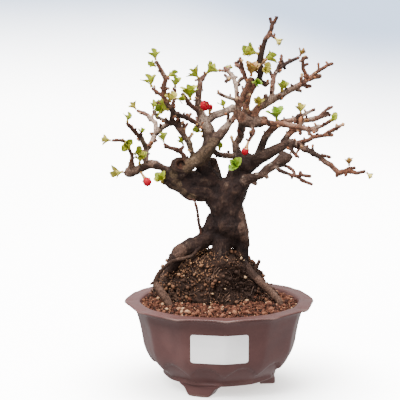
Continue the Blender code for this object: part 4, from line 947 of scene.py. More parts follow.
MOUND_SEED = 11
MOUND_STEP = 1.1 * MM
# Nothing clings to the mound below this height, and rays at its sides start this far out.
MOUND_FOOT = 70.5 * MM
MOUND_REACH = 150 * MM
GRIT_SEED = 7
GRIT_STEP = 1.6 * MM
# Grains lie this far out from the bowl's axis and between these heights. Rays down at them start
# this high.
GRIT_REACH = 66 * MM
BED_LOW = 68 * MM
BED_HIGH = 77 * MM
LOOK_DOWN = 120 * MM
# Where soil clings to the roots: how many of the crumbs are tried there, and the box's left, right,
# front, back, floor and top in millimetres.
CRUST = (
    (3.0, -30, 34, -14, 24, 104, 116),
    (1.6, 16, 54, -18, 8, 74, 106),
    (1.0, -58, -36, -20, 0, 74, 100))
ROOTLET_REACH = 60 * MM
# Larger pale pebbles lie along the front of the mound: where round the bowl in degrees, how far out
# and how large in millimetres, and their tones.
PEBBLE_TURNS = (-46, -31, -22, -9, 3, 14, 27, 38, 52, 75, -80)
PEBBLE_REACH = (37, 58)
PEBBLE_SIZES = (5.5, 8.5)
PEBBLE_TONES = (0.86, 0.97)
SCREEN_PITCH = 2.4 * MM

GOLDEN = (1 + 5 ** 0.5) / 2
ICOSAHEDRON = np.array([
    (-1, GOLDEN, 0), (1, GOLDEN, 0), (-1, -GOLDEN, 0), (1, -GOLDEN, 0),
    (0, -1, GOLDEN), (0, 1, GOLDEN), (0, -1, -GOLDEN), (0, 1, -GOLDEN),
    (GOLDEN, 0, -1), (GOLDEN, 0, 1), (-GOLDEN, 0, -1), (-GOLDEN, 0, 1)]) / math.hypot(1, GOLDEN)
ICOSAHEDRON_FACES = [
    (0, 11, 5), (0, 5, 1), (0, 1, 7), (0, 7, 10), (0, 10, 11), (1, 5, 9), (5, 11, 4), (11, 10, 2),
    (10, 7, 6), (7, 1, 8), (3, 9, 4), (3, 4, 2), (3, 2, 6), (3, 6, 8), (3, 8, 9), (4, 9, 5),
    (2, 4, 11), (6, 2, 10), (8, 6, 7), (9, 8, 1)]


class SoilSettings(bpy.types.PropertyGroup):
    grains: IntProperty(
        name="Grit grains", description="How many grains lie on the bowl's fill", default=6400,
        min=0)
    crumbs: IntProperty(
        name="Mound crumbs", description="How many crumbs cling to the root mound", default=5600,
        min=0)
    rootlets: IntProperty(
        name="Rootlets", description="How many hair roots run over the mound", default=70, min=0)
    grit: colour_property("Grit", "Red-brown grit", colour(64, 35, 25))
    soil: colour_property("Soil", "Dark old soil of the mound", colour(60, 42, 33))


def grain_mesh(name, spots, sizes, tones, draw):
    """Many chipped grains as one mesh, each with its own tone from 0 to 1."""
    count, corners = len(spots), len(ICOSAHEDRON)
    turned, _ = np.linalg.qr(draw.normal(size=(count, 3, 3)))
    squash = draw.uniform(0.6, 1.0, (count, 1, 3))
    chipped = ICOSAHEDRON * draw.uniform(0.72, 1.12, (count, corners, 1)) * squash
    points = np.einsum("npi,nij->npj", chipped, turned) * (np.array(sizes) / 2)[:, None, None]
    points = (points + np.array(spots)[:, None, :]).reshape(-1, 3)
    first = (np.arange(count) * corners)[:, None, None]
    faces = (np.array(ICOSAHEDRON_FACES) + first).reshape(-1, 3)
    return solid_mesh(name, points, faces, tone=np.repeat(tones, corners))


def grain_material(name, *stops):
    paint = Paint(name, 0.85, 0.12)
    fine = paint.cloud(0.6 * MM, 3, 0.6)
    base = paint.ramp(paint.map("tone") + (fine - 0.5) * 0.14, *stops)
    base = paint.mix(paint.band(fine, 0.45, 0.7) * 0.3, base, colour(52, 34, 26))
    return paint.finish(base, None, fine, 0.15 * MM)


def soil_surface(name, base, dark, size):
    """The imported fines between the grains."""
    paint = Paint(name, 0.9, 0.1)
    fine = paint.cloud(size, 5, 0.7)
    shade = paint.mix(paint.band(fine, 0.35, 0.65), dark, base)
    shade = paint.mix(paint.band(paint.cells(size * 1.4), 0.2, 0.4) * 0.4, shade, dark)
    return paint.finish(shade, None, fine + paint.cells(size * 1.2) * 0.7, 0.7 * MM)


class BONSAI_OT_soil(bpy.types.Operator):
    """The root mound, its crumbs and its hair roots"""
    bl_idname = "bonsai.soil"
    bl_label = "Root mound"

    def execute(self, context):
        settings = context.scene.bonsai_soil
        draw = np.random.default_rng(MOUND_SEED)
        mesh = remeshed("root_mound", MOUND_STEP)
        points = relax(read_points(mesh), read_edges(mesh), 6)
        write_points(mesh, points)
        out = 1.9 * lumps(points, 8 * MM, 21) + 1.1 * lumps(points, 3.8 * MM, 22)
        out += 0.5 * lumps(points, 1.9 * MM, 23)
        write_points(mesh, points + read_normals(mesh) * out[:, None] * MM)
        packed = soil_surface("Old soil", settings.soil, colour(26, 18, 15), 2.2 * MM)
        put("old_soil", mesh, packed, "root_soil", "root_mound")
        self.mound = wall("root_mound")
        self.low, self.high = (np.array(corner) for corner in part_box("root_mound"))
        self.middle = (self.low + self.high) / 2
        crumbs = [*self.crumbs(settings, draw), *self.crust(settings, draw)]
        spots, sizes = (np.array(column) for column in zip(*crumbs))
        # The mound is paler and yellower on its upper left, and darkest in its hollow on the right,
        # where the crumbs carry painted shadow.
        across, up = (spots[:, 0] - AXIS.x) / MM, spots[:, 2] / MM
        left = smooth_step(-across, -4, 22) * smooth_step(up, 84, 100)
        dark = np.exp(-((across - 16) / 15) ** 2 - ((up - 91) / 11) ** 2)
        tones = draw.uniform(0, 0.8, len(spots)) + 0.4 * lumps(spots, 10 * MM, 41) + 0.03
        tones += 0.5 * left - 0.7 * dark
        tones = np.where(draw.random(len(spots)) < 0.015, 1.0, np.clip(tones, 0, 0.93))
        put("soil_crumbs", grain_mesh("crumbs", spots, sizes, tones, draw), grain_material(
            "Soil crumbs", (0.1, colour(42, 30, 25)), (0.4, colour(72, 52, 41)),
            (0.7, colour(106, 73, 54)), (0.92, colour(138, 100, 72)),
            (0.995, colour(168, 138, 106))), "root_soil", "root_mound")
        paint = Paint("Hair roots", 0.8)
        brown = paint.ramp(
            paint.cloud(6 * MM, 3), (0.35, colour(40, 26, 21)), (0.7, colour(104, 74, 55)))
        mesh = solid_mesh("hair_roots", *joined(self.rootlets(settings, draw)))
        put("hair_roots", mesh, paint.finish(brown), "bark")
        return {"FINISHED"}

    def crumbs(self, settings, draw):
        """Crumbs that lie on the mound's top and cling to its sides, each a place and a size."""
        low, high, middle = self.low, self.high, self.middle
        for _ in range(settings.crumbs):
            turn, height = draw.uniform(0, TURN), draw.uniform(71 * MM, high[2])
            if draw.random() < 0.3:
                start = Vector((*draw.uniform(low[:2], high[:2]), high[2] + 10 * MM))
                spot, normal, _, _ = self.mound.ray_cast(start, DOWN)
            else:
                way = Vector((math.sin(turn), math.cos(turn), 0))
                aim = Vector((middle[0] + draw.uniform(-30, 30) * MM, middle[1], height))
                spot, normal, _, _ = self.mound.ray_cast(aim + way * MOUND_REACH, -way)
            size = draw.uniform(*((0.6, 1.8) if draw.random() < 0.92 else (2.4, 4.8))) * MM
            if spot is not None and spot.z > MOUND_FOOT:
                yield spot + normal * size * draw.uniform(0.1, 0.9), size

    def crust(self, settings, draw):
        """Crumbs that cling to the roots close over the mound."""
        wood = wall("tree")
        for share, *sides in CRUST:
            for _ in range(int(settings.crumbs * share)):
                spot = Vector(draw.uniform(sides[::2], sides[1::2])) * MM + Vector((AXIS.x, 0, 0))
                near = wood.find_nearest(spot, 1.4 * MM)[0]
                if near is not None and self.mound.ray_cast(spot, DOWN, 6 * MM)[0] is not None:
                    yield near, draw.uniform(0.7, 2.0) * MM

    def rootlets(self, settings, draw):
        """Hair roots that wander down over the mound."""
        for _ in range(settings.rootlets):
            turn = draw.uniform(0, TURN)
            spot = Vector((self.middle[0], self.middle[1], draw.uniform(80, 106) * MM))
            away = -abs(math.cos(turn)) if draw.random() < 0.6 else math.cos(turn)
            spot += Vector((math.sin(turn), away, 0)) * ROOTLET_REACH
            way = Vector((draw.normal(), draw.normal(), -0.8 + draw.normal() * 0.6)).normalized()
            path = []
            for _ in range(int(draw.uniform(8, 20))):
                near, normal, _, _ = self.mound.find_nearest(spot)
                way = (way + Vector(draw.normal(size=3)) * 0.35 + DOWN * 0.08).normalized()
                way = (way - normal * way.dot(normal)).normalized()
                if near.z > MOUND_FOOT:
                    path.append(near + normal * draw.uniform(0.5, 1.3) * MM)
                spot = near + way * 2.2 * MM
            if len(path) > 4:
                thick = draw.uniform(0.18, 0.42) * MM
                yield strand(path, np.linspace(thick, thick * 0.5, len(path)))


class BONSAI_OT_grit(bpy.types.Operator):
    """The bowl's fill of grit and pebbles, and the screen over the drain hole"""
    bl_idname = "bonsai.grit"
    bl_label = "Grit"

    def execute(self, context):
        settings = context.scene.bonsai_soil
        draw = np.random.default_rng(GRIT_SEED)
        mesh = remeshed("grit_bed", GRIT_STEP)
        points = relax(read_points(mesh), read_edges(mesh), 3)
        top = smooth_step(points[:, 2], 66 * MM, 69 * MM)
        points[:, 2] += (lumps(points, 5 * MM, 31) * 0.5 - 0.6) * MM * top
        write_points(mesh, points)
        fines = soil_surface("Grit fines", settings.grit, colour(50, 30, 22), 1.6 * MM)
        put("grit_fines", mesh, fines, "grit", "grit_bed")
        spots, sizes, tones = (np.array(column) for column in zip(*self.grains(settings, draw)))
        put("grit_grains", grain_mesh("grains", spots, sizes, tones, draw), grain_material(
            "Grit grains", (0.05, colour(26, 15, 12)), (0.35, settings.grit),
            (0.72, colour(84, 49, 36)), (0.95, colour(112, 72, 52)),
            (0.995, colour(178, 144, 110))), "grit", "grit_bed")
        paint = Paint("Drain screen", 0.5)
        threads = [(paint.along(axis) * (TURN / SCREEN_PITCH)).wave() for axis in (0, 1)]
        holes = paint.band(threads[0] * threads[1], 0.1, 0.3)
        screen = NODES["drain_screen"].data.materials
        base = paint.mix(holes, (0.02,) * 3, (0.004,) * 3)
        screen.clear()
        screen.append(paint.finish(base, None, 1 - holes, 0.5 * MM))
        return {"FINISHED"}

    def grains(self, settings, draw):
        """Loose grains and then the pale pebbles, each a place, a size and a tone."""
        bed, wood = wall("grit_bed", "root_mound"), wall("tree")
        loose = []
        for _ in range(settings.grains):
            turn, out = draw.uniform(0, TURN), GRIT_REACH * math.sqrt(draw.uniform(0.12, 1))
            spot = bed.ray_cast(self.above(turn, out), DOWN)[0]
            size = draw.uniform(*((1.0, 2.6) if draw.random() < 0.86 else (2.6, 4.6))) * MM
            if spot is None or not BED_LOW < spot.z < BED_HIGH:
                continue
            spot = spot + Vector((0, 0, draw.uniform(-0.1, 0.42) * size))
            if wood.find_nearest(spot, size * 0.3)[0] is None:
                loose.append((spot, size))
        grains = [(*grain, tone) for grain, tone in zip(loose, draw.uniform(0, 1, len(loose)))]
        for turn in np.radians(PEBBLE_TURNS):
            spot = bed.ray_cast(self.above(turn, draw.uniform(*PEBBLE_REACH) * MM), DOWN)[0]
            grains.append((spot + Vector((0, 0, 0.4 * MM)), draw.uniform(*PEBBLE_SIZES) * MM,
                           draw.uniform(*PEBBLE_TONES)))
        return grains

    def above(self, turn, out):
        """A point over the bowl's fill, at an angle from the front towards the right."""
        return AXIS + Vector((out * math.sin(turn), -out * math.cos(turn), LOOK_DOWN))


# Leaves

# Leaf tufts: foot (squares right, up, depth in mm), lean (right, up, back), blade length in mm,
# blades, and colour.
TUFTS = [
    ((-68, 295, -38), (-0.3, 1, -0.2), 9, 3, "green"),
    ((-45, 294.3, -28), (0.05, 1, -0.2), 7.5, 3, "green"),
    ((-54.6, 305, -41), (1, 0.6, 0.1), 6, 2, "green"),
    ((-60, 314.4, -43.6), (-0.9, 0.5, -0.1), 4.6, 2, "green"),
    ((-64, 322, -45), (-0.2, 1, 0), 6.5, 3, "green"),
    ((-29, 277.7, -13), (-0.1, 1, -0.1), 11, 4, "green"),
    ((-47, 271.6, -35), (-0.8, 0.3, -0.6), 11, 4, "green"),
    ((-51, 277, -36), (0.2, 1, -0.7), 7.5, 3, "yellow"),
    ((-45.8, 284, -31.6), (1, 0.1, -0.3), 6, 2, "green"),
    ((-66.8, 272.5, -47), (0.1, 1, -0.1), 5, 2, "green"),
    ((-83, 272.5, 41), (-0.6, 0.8, 0.1), 5, 2, "yellow"),
    ((-93.2, 260, -30), (0.3, 1, -0.2), 6, 2, "green"),
    ((-79.4, 245.5, -8), (0.2, 1, -0.5), 5, 2, "green"),
    ((-55.8, 239, -34), (-0.2, 1, 0), 6.6, 3, "green"),
    ((-36, 237, -21), (-0.4, 0.9, -0.2), 5.4, 2, "green"),
    ((-94.3, 241.2, -14), (0.2, -0.2, -1), 8, 3, "green"),
    ((-88.2, 228, -8), (0.8, 0.5, -0.5), 6.4, 3, "green"),
    ((-108, 242.4, -21), (-1, 0.2, -0.1), 6, 2, "yellow"),
    ((-81, 213.6, -2), (0.1, 1, -0.35), 10, 3, "green"),
    ((-95.5, 211.4, -2), (-1, -0.1, -0.4), 9, 2, "yellow"),
    ((-57.4, 199, -6), (-0.2, 1, -0.9), 9, 3, "green"),
    ((-19.5, 303, -4), (-0.8, 0.9, -0.2), 8.5, 3, "green"),
    ((-14.8, 308.4, -2), (0.8, 0.8, -0.1), 10.5, 4, "green"),
    ((4, 270.5, -7), (-0.1, 1, -0.4), 5, 2, "green"),
    ((-11, 249.5, -5), (-0.9, 0.3, -0.6), 5.4, 2, "green"),
    ((-1, 228, 0), (0.1, 1, -0.2), 5.4, 2, "green"),
    ((20, 213, 4), (-0.3, 0.5, -1), 9, 3, "bright"),
    ((41.5, 328, -6.5), (-1, 0.4, -0.3), 12, 4, "green"),
    ((39.2, 320.6, -5), (1, 0.5, 0.1), 9, 3, "green"),
    ((31, 306, -17), (0.1, 1, -0.2), 8.5, 3, "bronze"),
    ((29.6, 300, -17), (0.9, 0.2, -0.6), 5.6, 2, "bright"),
    ((41, 311, -3.5), (0.5, 0.4, -0.9), 6, 2, "yellow"),
    ((60.8, 287.4, 15), (0.2, 1, -0.2), 7.4, 3, "green"),
    ((57, 258.5, 1), (-0.1, 1, -0.3), 12, 3, "bright"),
    ((81, 266.7, 10), (-0.1, 1, -0.1), 7, 3, "yellow"),
    ((38.5, 275, 0), (0, 0.8, -0.8), 5.6, 2, "yellow"),
    ((107.5, 260.4, -46), (0.5, 0.5, -0.7), 6, 2, "green"),
    ((129, 215, -31), (0, 1, -0.1), 4.4, 2, "bronze"),
    ((145.4, 211.8, -38), (0.6, -0.6, -0.1), 4.6, 2, "yellow"),
    ((79, 325.6, 59), (0.5, 0.9, 0.1), 5, 2, "bronze"),
    ((54.4, 345.4, -13.4), (0.6, -0.5, -0.2), 4.6, 2, "yellow"),
    ((25, 275, 58), (0.1, 0.8, 1), 7, 3, "green"),
    ((-17, 271, 60), (-0.2, 0.8, 1), 6.6, 3, "green"),
    ((8.4, 311, 30), (0.1, 0.5, 1), 6, 2, "green"),
]
LEAF_COLOURS = {
    "green": ((98, 118, 20), (168, 170, 46), (134, 76, 38)),
    "bright": ((66, 112, 14), (128, 156, 30), (138, 138, 40)),
    "yellow": ((146, 138, 46), (190, 176, 84), (150, 92, 48)),
    "bronze": ((112, 72, 34), (148, 110, 50), (104, 42, 28))}
# The solids' blades are found again in their tufts: how close a try at one has to come, how many
# tries are made, and how the shoot's foot is looked for along its lean.
MATCH = 0.05 * MM
LEAF_TURNS = 24
SHOOT_MATCH = 0.02 * MM
SHOOT_STEP = 0.12 * MM
SHOOT_STEPS = 90
LEAF_SCALE = 1.12
LEAF_SIZE = (0.8, 1.0)
LEAF_BREADTH = (0.72, 0.88)
# A thin leaf's shape: its teeth and columns, thickness, fold along the rib and arch backwards.
LEAF_TEETH = 7
YOUNG_TEETH = 3
LEAF_COLUMNS = 7
LEAF_THIN = 0.16 * MM
LEAF_FOLD = 0.34
LEAF_ARCH = 0.24
# How much longer and broader the thin leaves are than the solids' blades, less so for longer ones,
# and how far they close up about their shoot.
LEAF_GROWTH = (1.5, 0.05)
LEAF_CLOSING = 0.3
# A shoot's path and widths. It takes the tint of the leaves' edges, as if it lay this many half
# widths out.
STEM_PATH = (0, 0.3, 0.6, 0.85, 1.0, 1.08)
STEM_WIDTHS = (1.5, 1.2, 1.1, 1.0, 0.7, 0.2)
STEM_TINT = 1.7
# Tufts shorter than this in millimetres are buds just breaking, with more and larger scales.
BREAKING = 6.5
BREAKING_SCALE = 1.35
LEAF_SEED = 3
TUFT_SEED = 100


def leaf_spots(number, row):
    """A tuft's shoot as in the solids, and each blade's root, directions, length and breadth."""
    foot, lean, length, blades, _ = row
    draw = random.Random(TUFT_SEED + number)
    solid = wall(f"leaf_tuft_{number:02d}")
    lean = Vector((lean[0], lean[2], lean[1])).normalized()
    thick = 1.9 * MM if length >= 7 else 1.5 * MM
    reach = (0.22 * length + 0.6) * MM
    start = drawn(*foot)
    for step in range(SHOOT_STEPS):
        near = start + lean * step * SHOOT_STEP
        if solid.find_nearest(near)[3] < SHOOT_MATCH:
            start = near
            break
    found = []
    for k in range(blades):
        size = length * LEAF_SCALE * MM * draw.uniform(*LEAF_SIZE)
        width = size * draw.uniform(*LEAF_BREADTH)
        spread = draw.uniform(0.6, 0.9) if k else 0.15
        turn = TURN * k / max(blades - 1, 2) + draw.uniform(-0.3, 0.3)
        for attempt in range(LEAF_TURNS):
            outward = spread_round(lean, turn + 0.7 * attempt)
            tipped = spread * (1 - 0.03 * attempt)
            along = (lean * math.cos(tipped) + outward * math.sin(tipped)).normalized()
            facing = (lean - along * lean.dot(along)) if k else spread_round(lean, 0)
            fit = size * (1 - 0.015 * attempt)
            root = start + lean * reach * (0.95 - 0.16 * k) + outward * thick * (0.3 if k else 0)
            root = root - along * 0.4 * MM
            ahead, side, up = blade_frame(along, facing)
            if solid.find_nearest(root + ahead * fit - up * LEAF_ARCH * fit)[3] < MATCH:
                growth = min(max(LEAF_GROWTH[0] - LEAF_GROWTH[1] * length, 0.86), 1.3)
                along = (ahead * (1 - LEAF_CLOSING) + lean * LEAF_CLOSING).normalized()
                found.append((root, along, side, side.cross(along), fit * growth, width * growth))
                break
    return start, lean, reach, thick, found


def young_spots(row, start, lean, reach, thick, draw):
    """Where the small leaves stand that still unfold between the others of a tuft."""
    _, _, length, blades, tone = row
    breaking = length < BREAKING and tone != "green"
    scale = BREAKING_SCALE if breaking or tone == "bronze" else 1
    spots = []
    for k in range(blades + (7 if tone == "bronze" else 5 if breaking else 3)):
        out = spread_round(lean, 2.4 * k + draw.uniform(-0.4, 0.4))
        tipped = draw.uniform(0.2, 0.6)
        along = lean * math.cos(tipped) + out * math.sin(tipped)
        size = length * MM * draw.uniform(0.7, 1.05) * scale
        root = start + lean * reach * draw.uniform(0.5, 1.0) + out * thick * 0.25 - along * 0.3 * MM
        spots.append((root, *blade_frame(along, lean - along * lean.dot(along)), size, size * 0.6))
    return spots


def leaf_blade(spot, draw, teeth=LEAF_TEETH, thin=LEAF_THIN):
    """A toothed leaf, folded along its rib, arched back and rippled: its points, faces and maps."""
    root, ahead, side, up, length, width = (np.array(each) for each in spot)
    run = np.linspace(0.0, 1.0, 2 * teeth + 1)[:, None]
    over = np.linspace(-1, 1, LEAF_COLUMNS)
    edge = np.sin(math.pi * np.clip(run, 0.015, 0.985) ** 2.0) ** 0.6
    edge[::2] *= 0.86
    edge[1::2] *= 1.05
    out = over * edge * width / 2
    phase, ripple = draw.uniform(0, 6), draw.uniform(0.02, 0.05)
    rise = LEAF_FOLD * np.abs(out) - LEAF_ARCH * length * run ** 2
    rise = rise + ripple * length * np.sin(run * 9 + phase + over * 1.5) * over ** 2
    rise = rise + 0.012 * length * np.cos((run * teeth - np.abs(over) * 1.6) * TURN) * np.abs(over)
    rise = rise + draw.uniform(-0.12, 0.12) * run * out
    middle = root + (run * length)[..., None] * ahead + out[..., None] * side + rise[..., None] * up
    half = thin * (1 - 0.65 * np.abs(over) ** 3) * (1 - 0.5 * run)
    rib = 0.10 * MM * np.exp(-(over / 0.18) ** 2) * (1 - run)
    top, low = middle + (half - rib * 0.5)[..., None] * up, middle - (half + rib)[..., None] * up
    return shell(top, low, run, over)


class LeafSettings(bpy.types.PropertyGroup):
    tips: FloatProperty(
        name="Reddish tips", default=0.6, min=0, max=1, subtype="FACTOR",
        description="How strongly the young leaves' tips and edges turn reddish")
    petals: colour_property("Petals", "The flowers' red", colour(150, 4, 28))


def under_skin(weight, radius, scale):
    """Light that passes a little way through a leaf or a petal."""
    return {"Subsurface Weight": weight, "Subsurface Radius": radius, "Subsurface Scale": scale}


def leaf_material(name, shades, tips):
    """Thin young leaf: pale veins, a tint at the tip and the teeth, and a tone for each leaf."""
    paint = Paint(f"Leaf {name}", 0.5, 0.35, under_skin(0.12, (0.3, 0.6, 0.1), 1.2 * MM))
    deep, pale, tint = (colour(*shade) for shade in shades)
    run, tone, side = paint.map("run"), paint.map("tone"), paint.map("over").size()
    vein = (run * LEAF_TEETH * TURN - side * 9).wave()
    rib = 1 - paint.band(side, 0.04, 0.14)
    marks = paint.band(vein, 0.86, 0.99) * (1 - side * 0.7) * 0.5 + rib * 0.8
    edge = paint.band(side * 0.8 + run * run * 0.5 + tone * 0.25, 0.95, 1.4)
    base = paint.coats(
        paint.mix(tone, deep, pale),
        (paint.band(paint.cloud(1.5 * MM, 3), 0.4, 0.7) * 0.3, pale),
        (marks * 0.45, colour(168, 172, 84)),
        (edge * tips, tint))
    return paint.finish(base, None, 1 - marks, 0.1 * MM, 0.7)


class BONSAI_OT_leaves(bpy.types.Operator):
    """The tufts of young leaves"""
    bl_idname = "bonsai.leaves"
    bl_label = "Leaves"

    def execute(self, context):
        draw = random.Random(LEAF_SEED)
        for name, shades in LEAF_COLOURS.items():
            rows = {number: row for number, row in enumerate(TUFTS, 1) if row[4] == name}
            parts = [part for number, row in rows.items() for part in self.tuft(number, row, draw)]
            points, faces, run, over, tone = joined(parts)
            mesh = solid_mesh(f"leaves_{name}", points, faces, run=run, over=over, tone=tone)
            green = leaf_material(name, shades, context.scene.bonsai_leaves.tips)
            nodes = [f"leaf_tuft_{number:02d}" for number in rows]
            put(f"leaves_{name}", mesh, green, "leaf", *nodes)
        return {"FINISHED"}

    def tuft(self, number, row, draw):
        """A tuft's shoot and leaves, each with its maps, the last of them its tone."""
        start, lean, reach, thick, spots = leaf_spots(number, row)
        if not spots:
            raise RuntimeError(f"no blade of tuft {number} was found")
        path = [start + lean * reach * share for share in STEM_PATH]
        stem = strand(path, [thick * share / 2 for share in STEM_WIDTHS], 7)
        flat = np.zeros(len(stem[0]))
        made = [(*stem, flat, flat + STEM_TINT)]
        made += [leaf_blade(spot, draw) for spot in spots]
        young = young_spots(row, start, lean, reach, thick, draw)
        made += [leaf_blade(spot, draw, YOUNG_TEETH) for spot in young]
        return [(*part, np.full(len(part[0]), draw.random())) for part in made]


# Flowers

# Foot on the bark, middle of the petals (squares right, up, depth in mm), their radius in mm, open
# or not.
FLOWERS = {
    "bloom": ((-20.5, 272, -5), (-15.2, 277.3, -13), 3.7, True),
    "small_bud": ((-11, 266, -5), (-9.6, 276, -7), 2.1, False),
    "left_bud": ((-81, 213.6, -2), (-72.8, 201.2, -12), 3.6, False),
    "hanging_bud": ((28.6, 242, -14), (25.2, 232, -15), 3.1, False),
}
# Rings of petals in an open flower and in a bud: a turn in radians, the radius of even and of odd
# petals as a share, and in degrees half a petal's width and the tilt of its foot and of its edge.
RINGS = {True: ((0, (1.06, 1.14), (46, -62, 79)), (0.6, (0.88, 0.88), (40, -50, 85))),
         False: ((0, (0.96, 0.96), (62, -84, 88)),)}
PETALS = 5
PETAL_ROWS = 14
PETAL_COLUMNS = 13
PETAL_THICK = 0.14 * MM
FLOWER_SEED = 9
STALK_PATH = (0, 0.3, 0.6, 0.85, 1.0)
STALK_RADII = (1.2, 1.1, 1.2, 1.5, 1.9, 2.0)
STAMENS = 26


def petal(centre, axis, turn, radius, angles, is_open, draw):
    """A cupped petal, wavy where it is open, wound over the next in a bud."""
    first = axis.orthogonal().normalized()
    first, second, axis = (np.array(each) for each in (first, axis.cross(first), axis))
    half_width, low, high = np.radians(angles)
    share = np.linspace(0, 1, PETAL_ROWS)[:, None]
    across = np.linspace(-1, 1, PETAL_COLUMNS)
    phase = draw.uniform(0, 6)
    if is_open:
        rounded = high - 0.26 * np.abs(across) ** 2.2 * (high - low)
        breadth = half_width * (0.42 + 0.58 * np.sin(math.pi * np.minimum(0.12 + 0.72 * share, 1)))
        far = radius * (1 + 0.07 * share * np.sin(across * 4 + phase) + 0.04 * share ** 4)
        wind, reach = 0, 1.0
    else:
        rounded = high
        breadth = half_width * (1 + 0.1 * share)
        far = radius * (1.0 + 0.055 * across - 0.05 * (1 - np.abs(across)) * share)
        wind, reach = 0.5 * share, 1.12
    tilt = (low + (rounded - low) * share)[..., None]
    about = (turn + across * breadth + wind)[..., None]
    out = np.cos(about) * first + np.sin(about) * second
    way = out * np.cos(tilt) + axis * np.sin(tilt) * reach
    outer, inner = (np.array(centre) + way * (far - depth)[..., None] for depth in (0, PETAL_THICK))
    return shell(outer, inner, share, across)


def anther(centre, radius, along, long):
    """A small egg, drawn out along a direction."""
    along = np.array(along) / np.linalg.norm(along)
    egg = ICOSAHEDRON + np.outer(ICOSAHEDRON @ along, along) * (long - 1)
    return np.array(centre) + egg * radius, ICOSAHEDRON_FACES


def petal_material(settings):
    paint = Paint("Petals", 0.45, 0.12, under_skin(0.1, (1.0, 0.2, 0.1), 0.8 * MM))
    run, over = paint.map("run"), paint.map("over")
    veins = (over * 34 + paint.cloud(1.2 * MM, 2) * 5).wave()
    base = paint.coats(
        paint.mix(paint.cloud(1.6 * MM, 3), settings.petals, colour(160, 8, 28)),
        (paint.band(veins, 0.5, 1.0) * 0.35, colour(100, 3, 16)),
        (paint.band(over.size() * 0.6 + run * 0.5, 0.8, 1.1) * 0.3, colour(196, 28, 48)),
        ((1 - paint.band(run, 0.0, 0.35)) * 0.4, colour(130, 14, 26)))
    return paint.finish(base, None, veins, 0.05 * MM, 0.5)


def sepal_material():
    paint = Paint("Sepals", 0.55, 0.35)
    edge = paint.band(paint.map("over").size() + paint.cloud(0.8 * MM, 2) * 0.5, 0.9, 1.3)
    base = paint.mix(paint.map("run"), colour(164, 124, 80), colour(200, 168, 116))
    base = paint.mix(edge * 0.7, base, colour(132, 52, 40))
    return paint.finish(base, None, paint.cloud(0.4 * MM, 2), 0.05 * MM, 0.5)


def stamen_material():
    paint = Paint("Stamens", 0.6)
    base = paint.mix(paint.cloud(0.5 * MM, 2), colour(236, 206, 120), colour(214, 158, 60))
    return paint.finish(base)


class BONSAI_OT_flowers(bpy.types.Operator):
    """The open bloom, the buds, their stamens and their sepals"""
    bl_idname = "bonsai.flowers"
    bl_label = "Flowers"

    def execute(self, context):
        draw = random.Random(FLOWER_SEED)
        wood = wall("tree")
        red = petal_material(context.scene.bonsai_leaves)
        gold, green = stamen_material(), sepal_material()
        for name, (foot, middle, radius, is_open) in FLOWERS.items():
            centre, root = drawn(*middle), drawn(*foot)
            axis = (centre - root).normalized()
            radius *= MM
            petals = [petal(centre, axis, TURN * k / PETALS + shift, radius * shares[k % 2],
                            angles, is_open, draw)
                      for k in range(PETALS) for shift, shares, angles in RINGS[is_open]]
            self.add_piece(f"{name}_red_petals", petals, red, "petal", f"{name}_petals")
            if is_open:
                stamens = self.stamens(centre, axis, radius, draw)
                put(f"{name}_gold_stamens", solid_mesh(name, *joined(stamens)), gold, "stamen",
                    f"{name}_stamens")
            neck = centre - axis * (radius + 0.3 * MM)
            bark_spot = wood.ray_cast(neck, -axis)[0] or root
            cup = [self.stalk(bark_spot, neck, axis)]
            for k in range(PETALS):
                out = spread_round(axis, TURN * k / PETALS + 0.3)
                frame = blade_frame((out * 0.6 + axis * 0.8).normalized(), axis - out * 0.4)
                foot = neck - axis * 0.5 * MM + out * 0.6 * MM
                cup.append(leaf_blade((foot, *frame, radius * 1.15, radius), draw, 2, 0.2 * MM))
            self.add_piece(f"{name}_sepals", cup, green, "sepal", f"{name}_calyx")
        return {"FINISHED"}

    def add_piece(self, name, made, material, slot, node):
        points, faces, run, over = joined(made)
        put(name, solid_mesh(name, points, faces, run=run, over=over), material, slot, node)

    def stalk(self, low, high, axis):
        """The stalk from the bark up to the flower's neck."""
        path = [low + (high - low) * share for share in STALK_PATH] + [high + axis * 0.3 * MM]
        tube = strand(path, [radius * MM for radius in STALK_RADII], 10)
        return *tube, np.zeros(len(tube[0])), np.zeros(len(tube[0]))

    def stamens(self, centre, axis, radius, draw):
        """Thin threads that spread from the flower's middle, each with its anther."""
        parts = []
        for k in range(STAMENS):
            out = spread_round(axis, k * 2.4)
            lean = 0.12 + 0.5 * (k / STAMENS)
            foot = centre - axis * 0.4 * radius + out * radius * 0.15
            high = 0.75 - 0.3 * lean + draw.uniform(-0.08, 0.08)
            tip = centre + axis * radius * high + out * radius * lean
            bend = (foot + tip) / 2 + out * radius * 0.08
            parts.append(strand([foot, bend, tip], [0.09 * MM, 0.08 * MM, 0.07 * MM], 4))
            parts.append(anther(tip, 0.24 * MM, out, 1.5))
        return parts


# The stage

# The paper is a round cove: a flat floor that bends up into a wall all round, in metres.
COVE_RADIUS = 2.6
COVE_BEND = 0.6
COVE_HEIGHT = 3.0
COVE_STEPS = 12
COVE_COLUMNS = 96
COVE_START = 1 * MM
COVE_DROP = 0.2 * MM
# The paper glows, nearly white on the floor and cooler and darker between these heights.
PAPER_GLOW = 10.0
PAPER_FADE = (-0.04, 0.32)
PAPER_LOW = (1.0, 0.98, 0.96)
PAPER_HIGH = (0.06, 0.085, 0.135)
PAPER_GRAIN = (0.78, 0.78, 0.78)
PAPER_COOL = (0.34, 0.39, 0.46)
# Far off, its right side is darker, as if it stood this much higher: painted shade on that side.
PAPER_RIGHT = (-0.2, 0.38)
PAPER_FAR = (0.9, 2.3)
PAPER_LIFT = 0.12
